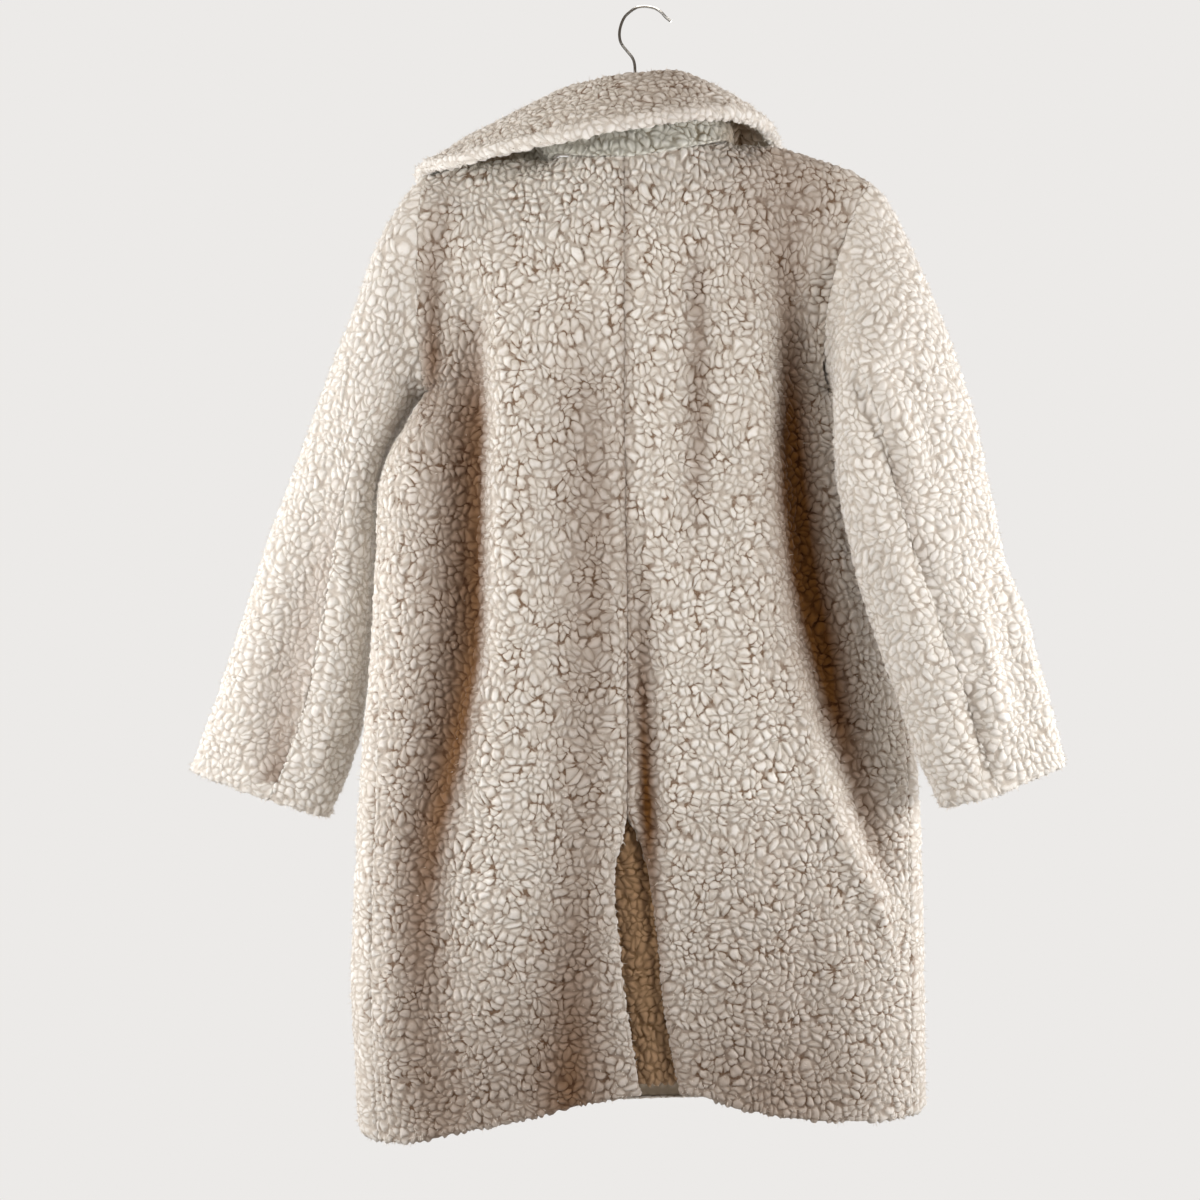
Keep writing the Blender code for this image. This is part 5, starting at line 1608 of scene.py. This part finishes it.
    def borders(self) -> tuple[np.ndarray, ...]:
        """Work out what the four borders do to the wall.

        Returns:
            How high the pile's skin lies over the wall's middle (1, down to nearly -1 round a free edge), the
            share of the roll, how far the skin dips, the share of the pile, and how far the pile's skin and the
            backing are moved along the cloth to go round a free edge.
        """
        grid = self.grid
        lower, further = (unit(np.gradient(grid, axis=axis)) for axis in (0, 1))
        ways = {"top": -lower, "bottom": lower, "start": -further, "end": further}
        heights = {"top": grid[:1, :, 2], "bottom": grid[-1:, :, 2], "start": grid[:, :1, 2], "end": grid[:, -1:, 2]}
        wrap, rise = np.ones((2, *grid.shape[:2]))
        roll, dip = np.zeros((2, *grid.shape[:2]))
        tuck, drawn = np.zeros((2, *grid.shape))
        for name, away in self.distances().items():
            border, way = getattr(self, name), ways[name]
            free = border.free(heights[name])
            reach = np.minimum(away, self.nose)
            turn = NOSE_TURN * (1 - reach / self.nose)
            wrap = np.minimum(wrap, 1 - free * (1 - np.cos(turn)))
            tuck += way * (free * (reach - self.nose * (1 - np.sin(turn))))[:, :, None]
            drawn -= way * (free * NOSE_TUCK * (self.nose - reach))[:, :, None]
            roll = np.maximum(roll, free * np.exp(-((away / PUFF_REACH) ** 2)))
            sewn = 1 - smooth_step(away / border.reach)
            dip += (1 - free) * border.dip * sewn
            rise *= 1 - (1 - free) * sewn * min(1.0, border.dip / SEAM.dip)
        return wrap, roll, dip, rise, tuck, drawn

    def mesh(self, outer: np.ndarray, inner: np.ndarray, kit: Kit) -> bpy.types.Object:
        """Join the two skins into a closed wall; the inner one has a point for every few of the outer's.

        Args:
            outer: Points of the pile's skin.
            inner: Points of the backing.
            kit: What gives the materials of the two.

        Returns:
            The piece.
        """
        rows, columns = outer.shape[:2]
        skin = cells_of(rows, columns).tolist()
        self.kept = on_border(rows, columns)
        self.kept[:: self.stride, :: self.stride] = True
        below = np.full((rows, columns), -1)
        below[self.kept] = rows * columns + np.arange(self.kept.sum())
        s = self.stride
        lining = [[int(below[spot]) for spot in ring_of(r, c, r + s, c + s) if below[spot] >= 0]
                  for r in range(0, rows - 1, s) for c in range(0, columns - 1, s)]
        border = ring_of(0, 0, rows - 1, columns - 1)
        rim = [(a[0] * columns + a[1], b[0] * columns + b[1], int(below[b]), int(below[a]))
               for a, b in zip(border, border[1:] + border[:1])]
        faces = skin + lining + rim
        if self.sign < 0:
            faces = [face[::-1] for face in faces]
        mesh = bpy.data.meshes.new(self.name)
        mesh.from_pydata(np.concatenate([outer.reshape(-1, 3), inner[self.kept]]).tolist(), [], faces)
        mesh.materials.append(kit.furs[self.slot])
        mesh.materials.append(kit.backing)
        inside = np.zeros(len(faces), dtype=np.int32)
        inside[len(skin) : len(skin) + len(lining)] = 1
        mesh.polygons.foreach_set("material_index", inside)
        mesh.shade_smooth()
        return in_scene(self.name, mesh)

    def carry(self, piece: bpy.types.Object, laid: np.ndarray, rise: np.ndarray, roll: np.ndarray,
              painted_shade: np.ndarray, index: int) -> None:
        """Store on the points where they lie on the cloth, how far the pile rises, and their shares of painted shade
        and of painted curl shade.

        Args:
            piece: The piece.
            laid: How far over and down the cloth its points lie.
            rise: Share of the pile's height at each of them.
            roll: How much they belong to a rolled edge, 0 to 1.
            painted_shade: The share of painted shade there, 0 to 1.
            index: The piece's place in the list, which shifts its curls.
        """
        over, down = np.moveaxis(laid, -1, 0)
        drops = np.linspace(down.min(), down.max(), LAY_STEPS)
        length = np.interp(down, drops, np.cumsum(np.gradient(drops) / np.linspace(*self.lay, LAY_STEPS)))
        cloth = np.stack([over + index * CLOTH_APART, length, np.zeros_like(over)], axis=-1)
        # Painted curl shade, less still on rolled edges.
        painted_curl_shade = self.painted_curl_shade * (1 - (1 - self.rim_painted_curl_shade) * roll)
        rim = on_border(*over.shape)[self.kept][:, None] * np.array([RIM_WIDTH, RIM_WIDTH, 0.0])
        for name, kind, key, pile, backing in (
            ("cloth", "FLOAT_VECTOR", "vector", cloth.reshape(-1, 3), cloth[self.kept] + rim),
            ("rise", "FLOAT", "value", rise.ravel(), np.zeros(self.kept.sum())),
            ("painted_shade", "FLOAT", "value", painted_shade.ravel(), painted_shade[self.kept]),
            ("painted_curl_shade", "FLOAT", "value", painted_curl_shade.ravel(), painted_curl_shade[self.kept]),
        ):
            values = np.concatenate([pile, backing]).astype(np.float32)
            piece.data.attributes.new(name, kind, "POINT").data.foreach_set(key, values.ravel())

    def tufts(self, piece: bpy.types.Object, rise: np.ndarray, roll: np.ndarray, index: int,
              material: bpy.types.Material) -> bpy.types.Object:
        """Make the tufts that stand out of the pile, most of them at the sides and on rolled edges.

        Args:
            piece: The piece whose pile is raised.
            rise: Share of the pile's height at each point, which thins them out.
            roll: How much it belongs to a rolled edge, 0 to 1.
            index: The piece's place in the list, which seeds them.
            material: Material of the fibres.

        Returns:
            All the piece's tufts as one mesh.
        """
        chance = np.random.default_rng(index + 1)
        points = np.empty(len(piece.data.vertices) * 3, dtype=np.float32)
        piece.data.vertices.foreach_get("co", points)
        points = points.reshape(-1, 3)[: rise.size].reshape(*rise.shape, 3)
        cells = cell_areas(points) * rise[:-1, :-1] ** 2
        count = max(TUFT_FEWEST, round(cells.sum() * self.stray))
        weights = cells * (TUFT_SPREAD + np.abs(self.normals[:-1, :-1, 0]) + TUFT_ROLL * roll[:-1, :-1])
        chosen = chance.choice(weights.size, count, p=weights.ravel() / weights.sum())
        r, c = np.unravel_index(chosen, cells.shape)
        away = normals_of(points, self.sign)[r, c] * 0.5 + self.normals[r, c] * 0.7
        away = unit(away + chance.normal(0.0, TUFT_STRAY, (count, 3)) + np.array([0.0, 0.0, PILE_FALL]))
        side = unit(np.cross(away, chance.normal(0.0, 1.0, (count, 3))))
        other = np.cross(away, side)
        length = chance.uniform(*TUFT_LENGTH, (count, 1))
        root = points[r, c] - away * TUFT_ROOT
        ring = [root + TUFT_HALF * (side * math.cos(turn) + other * math.sin(turn)) for turn in (0.0, 2.1, 4.2)]
        spikes = np.stack([*ring, root + away * (length + TUFT_ROOT)], axis=1)
        faces = np.arange(count)[:, None, None] * 4 + np.array([[0, 1, 3], [1, 2, 3], [2, 0, 3], [2, 1, 0]])
        mesh = bpy.data.meshes.new(f"{self.name}_strays")
        mesh.from_pydata(spikes.reshape(-1, 3).tolist(), [], faces.reshape(-1, 3).tolist())
        mesh.materials.append(material)
        return in_scene(mesh.name, mesh)

    def declare(self, piece: bpy.types.Object, tufts: bpy.types.Object) -> None:
        """Make the piece and its tufts ride on the root body, and hide the solid that the piece is made on.

        Args:
            piece: The piece.
            tufts: Its tufts.
        """
        for made in (tufts, piece):
            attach(made, "root")
            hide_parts(self.node)


def share_normals(pieces: list[CutPiece]) -> None:
    """Give the points that pieces share along a seam one normal, so that their walls meet edge to edge.

    Args:
        pieces: The pieces, whose meeting with their neighbours is worked out too.
    """
    spots = [(owner, piece, spot) for owner, piece in enumerate(pieces) for spot in BORDERS.values()]
    everywhere = np.concatenate([piece.grid[spot] for _, piece, spot in spots])
    facing = np.concatenate([piece.normals[spot] for _, piece, spot in spots])
    owners = np.concatenate([np.full(len(piece.grid[spot]), owner) for owner, piece, spot in spots])
    tree = KDTree(len(everywhere))
    for k, point in enumerate(everywhere):
        tree.insert(point, k)
    tree.balance()
    shared = [{} for _ in pieces]
    for owner, piece in enumerate(pieces):
        for border, spot in BORDERS.items():
            wanted = piece.normals[spot].copy()
            gap, opposed = np.zeros_like(wanted), np.zeros(len(wanted))
            for k, point in enumerate(piece.grid[spot]):
                others = {}
                for _, found, away in tree.find_range(point, SAME_SEAM):
                    if owners[found] != owner and away < others.get(owners[found], (SAME_SEAM, 0))[0]:
                        others[owners[found]] = (away, found)
                total = wanted[k] + sum((facing[found] for _, found in others.values()), np.zeros(3))
                if others:
                    gap[k] = (everywhere[min(others.values())[1]] - point) / 2
                if np.linalg.norm(total) > OPPOSED:
                    wanted[k] = unit(total)
                else:
                    opposed[k] = 1.0
            shared[owner][border] = wanted
            piece.meeting[border] = (gap, opposed)
    for piece, wanted in zip(pieces, shared):
        piece.turn_to(wanted)


class Neighbours:
    """The coat's solids, to find how much room the pile has in front of a piece."""

    def __init__(self) -> None:
        """Make a tree of every solid's faces."""
        self.trees = {
            name: BVHTree.FromPolygons([vertex.co.copy() for vertex in node.data.vertices],
                                       [list(face.vertices) for face in node.data.polygons])
            for name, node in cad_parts.items()}

    def room(self, own: str, grid: np.ndarray, normals: np.ndarray) -> np.ndarray:
        """Look outwards from every point.

        Args:
            own: The piece's own solid, which doesn't count.
            grid: The points.
            normals: The way to look.

        Returns:
            The pile's share of the way to the next solid, or its whole height where none is near.
        """
        room = np.full(grid.shape[:2], PILE_STAND)
        for name, tree in self.trees.items():
            low, high = (np.array(corner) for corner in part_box(name))
            near = ((grid > low - NEAR) & (grid < high + NEAR)).all(axis=2)
            for r, c in np.argwhere(near & (name != own)):
                start = grid[r, c] + normals[r, c] * 0.1 * MM
                hit = tree.ray_cast(Vector(start), Vector(normals[r, c]), ROOM_REACH)
                if hit[0] is not None:
                    room[r, c] = min(room[r, c], hit[3] * ROOM_SHARE)
        return room


# ---------------------------------------------------------------- the coat
@dataclass
class Coat:
    """The whole coat: the list of its cut pieces and their finishes."""

    curls: Curls = Curls()
    vent_top: float = -0.800  # height below which the centre back is open
    body_lay: tuple[float, float] = (1.25, 0.88)
    sleeve_lay: tuple[float, float] = (1.20, 0.95)

    def side_pieces(self, side: str, vent_dip: float) -> list[CutPiece]:
        """Give the cut pieces of one side.

        Args:
            side: The side, left or right.
            vent_dip: How far the centre-back seam sinks there.

        Returns:
            The back, the front, the two halves of the sleeve, and the lapel.
        """
        body, sleeve = BODIES[side], SLEEVES[side]
        inside = tuple(sleeve.points(np.full(8, 0.5), np.arange(8) * 45.0).mean(axis=0))
        panel = {"lay": self.body_lay, "swells": BODY_SWELLS, "painted_shades": PAINTED_SHADES}
        vent = Border(free_below=self.vent_top, dip=vent_dip, reach=4 * MM)
        # The sleeves and their cuffs get less painted curl shade, a painted highlight where the side lamps fall.
        half = {"centre": inside, "top": HIDDEN_SEAM, "start": HIDDEN_SEAM, "end": HIDDEN_SEAM, "rim_painted_curl_shade": 0.3,
                "nose": 4.2 * MM, "roll": 2.0 * MM, "puff": 1.4 * MM, "lay": self.sleeve_lay,
                "swells": SLEEVE_SWELLS[side], "rests_on": (f"back_{side}", f"front_{side}")}
        return [
            CutPiece(f"fur_back_{side}", f"back_{side}", body.back, top=HIDDEN_SEAM, start=HIDDEN_SEAM, end=vent,
                     step=1.8 * MM, **panel),
            CutPiece(f"fur_front_{side}", f"front_{side}", body.front, end=FREE, step=3.2 * MM, stray=8000.0, **panel),
            CutPiece(f"fur_{side}_sleeve_upper", f"sleeve_{side}_upper", sleeve.upper, painted_curl_shade=0.42,
                     painted_shades=PAINTED_SLEEVE_SHADES[side], **half),
            CutPiece(f"fur_{side}_sleeve_under", f"sleeve_{side}_under", sleeve.under, painted_curl_shade=0.5, step=2.3 * MM,
                     **half),
            CutPiece(f"fur_lapel_{side}", f"lapel_{side}", body.lapel, top=FREE, start=FREE, end=FREE, wall=6.0 * MM,
                     step=2.8 * MM, rests_on=(f"front_{side}",)),
        ]

    def pieces(self) -> list[CutPiece]:
        """Give all the cut pieces.

        Returns:
            The pieces, in the order in which they are built.
        """
        middle = {"start": FREE, "end": FREE, "wall": 5.0 * MM, "rests_on": ("back_left", "back_right")}
        return [
            *self.side_pieces("left", 1.4 * MM),
            *self.side_pieces("right", 0.9 * MM),
            # The collar's rolled rim gets almost no painted curl shade: a painted highlight.
            CutPiece("fur_upper_collar", "upper_collar", collar_layer(1), fall_faces=-1, ends=FINE_EDGE,
                     nose=6.6 * MM, roll=5.2 * MM, puff=3.4 * MM, rim_painted_curl_shade=0.05, painted_shades=PAINTED_COLLAR_SHADES, **middle),
            CutPiece("fur_under_collar", "under_collar", collar_layer(-1), fall_faces=1, slot=Slot.IN_SHADE,
                     top=HIDDEN_SEAM, stray=9000.0, painted_shades=PAINTED_UNDER_COLLAR_SHADES, **middle),
            CutPiece("fur_vent_underlay", "vent_underlay", vent_underlay, slot=Slot.IN_SHADE, top=FREE, stray=9000.0,
                     painted_shades=PAINTED_VENT_SHADES, **middle),
        ]

    def build(self) -> list[bpy.types.Object]:
        """Build every piece of the coat.

        Returns:
            The pieces.
        """
        furs = {
            Slot.OUTSIDE: FauxFur(curls=self.curls).material(),
            # The copy for the under collar and the vent underlay, which lie in shadow: greyer tips and sides as
            # painted shade, with their own crevice and painted shade colours.
            Slot.IN_SHADE: FauxFur("tumbled polyester fur in shade", "#EDECE5", "#D0CEC4", "#84775F", "#AC7C42",
                                   self.curls).material(),
        }
        kit = Kit(PileShape(self.curls), furs, KnitBacking().material(), LooseFibre().material(), Neighbours())
        pieces = self.pieces()
        for piece in pieces:
            piece.lay_out()
        share_normals(pieces)
        return [piece.build(index, kit) for index, piece in enumerate(pieces)]


@dataclass
class Hanger:
    """The wire hook and the bar it stands on, whose solids stay."""

    hook: Finish = BrightWire()
    bar: Finish = MouldedBar()

    def dress(self) -> None:
        """Give the hanger's solids their finishes."""
        for node, finish in (("hanger_hook", self.hook), ("hanger_arms", self.bar)):
            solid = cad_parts[node]
            material = finish.material()
            for slot in solid.material_slots:
                slot.link = "DATA"
                slot.material = material
            solid.data.shade_smooth()
            LOG.info("%s: %s", node, finish.name)


# ---------------------------------------------------------------- the studio
@dataclass(frozen=True)
class SoftLight:
    """A large square lamp: where it stands, what it points at, its size, power and colour."""

    name: str
    place: Place
    target: Place
    size: float
    power: float
    colour: str

    def place_it(self) -> None:
        """Put the lamp in the scene."""
        data = bpy.data.lights.new(self.name, "AREA")
        data.shape = "SQUARE"
        data.size = self.size
        data.energy = self.power
        data.color = linear(self.colour)[:3]
        lamp = in_scene(self.name, data)
        lamp.location = self.place
        lamp.rotation_euler = (Vector(self.target) - Vector(self.place)).to_track_quat("-Z", "Y").to_euler()


@dataclass(frozen=True)
class FloorPaint(Finish):
    """Matt emulsion paint, rolled on: pale with no gloss."""

    name: str = "matt painted floor"
    colour: str = "#E9E6E1"

    def surface(self, add: Adder) -> dict[str, object]:
        """Give what the shader's inputs are set to."""
        return {"Base Color": linear(self.colour), "Roughness": 0.9}


@dataclass
class Studio:
    """A pale floor, soft light from both sides and the camera."""

    floor_z: float = -1.90
    floor_radius: float = 1.55
    wall: str = "#ECEAE8"
    bounce: str = "#FFE6CC"  # light that comes off the room
    sky_light: float = 0.11
    lens: float = 45.0
    sensor: float = 36.0
    camera_place: Place = (-0.043, -1.5, -0.592)
    lights: tuple[SoftLight, ...] = (
        SoftLight("left_window", (-2.00, -0.08, -0.70), (0.0, 0.0, -0.72), 1.4, 25.0, "#FFFFFF"),
        SoftLight("right_window", (2.00, -0.12, -0.80), (0.0, 0.0, -0.80), 1.4, 28.0, "#FCFDFF"),
        SoftLight("left_lamp", (-1.04, -0.74, -0.52), (-0.28, 0.0, -0.56), 0.40, 8.0, "#FFFEFC"),
        SoftLight("right_lamp", (1.08, -0.72, -0.54), (0.26, 0.0, -0.60), 0.40, 8.8, "#FFFEFC"),
        SoftLight("room_lamp", (-0.35, -1.40, 0.00), (0.0, 0.0, -0.30), 0.8, 3.2, "#FFFDFA"),
        SoftLight("ceiling_lamp", (0.10, -0.50, 0.85), (0.0, 0.0, -0.10), 0.6, 4.8, "#FFF6EC"),
        SoftLight("far_lamp", (0.60, 1.70, -0.20), (0.0, 0.0, -0.60), 0.9, 17.0, "#FFFCF8"),
    )

    def build(self) -> None:
        """Build the studio."""
        for light in self.lights:
            light.place_it()
        world = bpy.data.worlds.new("pale studio")
        bpy.context.scene.world = world
        world.use_nodes = True
        add = partial(add_node, world.node_tree)
        seen = add("LightPath").outputs["Is Camera Ray"]
        colour = add("Mix", {0: seen, 6: linear(self.bounce), 7: linear(self.wall)}, data_type="RGBA")
        strength = add("MapRange", {0: seen, 3: self.sky_light, 4: 1.0})
        set_inputs(world.node_tree.nodes["Background"], {"Color": colour, "Strength": strength})
        self.floor()
        camera = bpy.data.cameras.new("camera")
        camera.lens = self.lens
        camera.sensor_width = self.sensor
        viewer = in_scene("camera", camera)
        viewer.location = self.camera_place
        viewer.rotation_euler = (math.radians(90.0), 0.0, 0.0)
        bpy.context.scene.camera = viewer
        bpy.context.scene.view_settings.view_transform = "Standard"

    def floor(self) -> None:
        """Lay the floor, a disc that ends outside the view."""
        bpy.ops.mesh.primitive_circle_add(vertices=96, radius=self.floor_radius, fill_type="NGON",
                                          location=(0.0, 0.0, self.floor_z))
        floor = bpy.context.object
        floor.name = "floor"
        floor.data.materials.append(FloorPaint().material())


def main() -> None:
    """Build the coat, dress the hanger and set up the studio."""
    logging.basicConfig(level=logging.INFO, format="%(name)s: %(message)s")
    Coat().build()
    Hanger().dress()
    Studio().build()


if __name__ == "__main__":
    main()
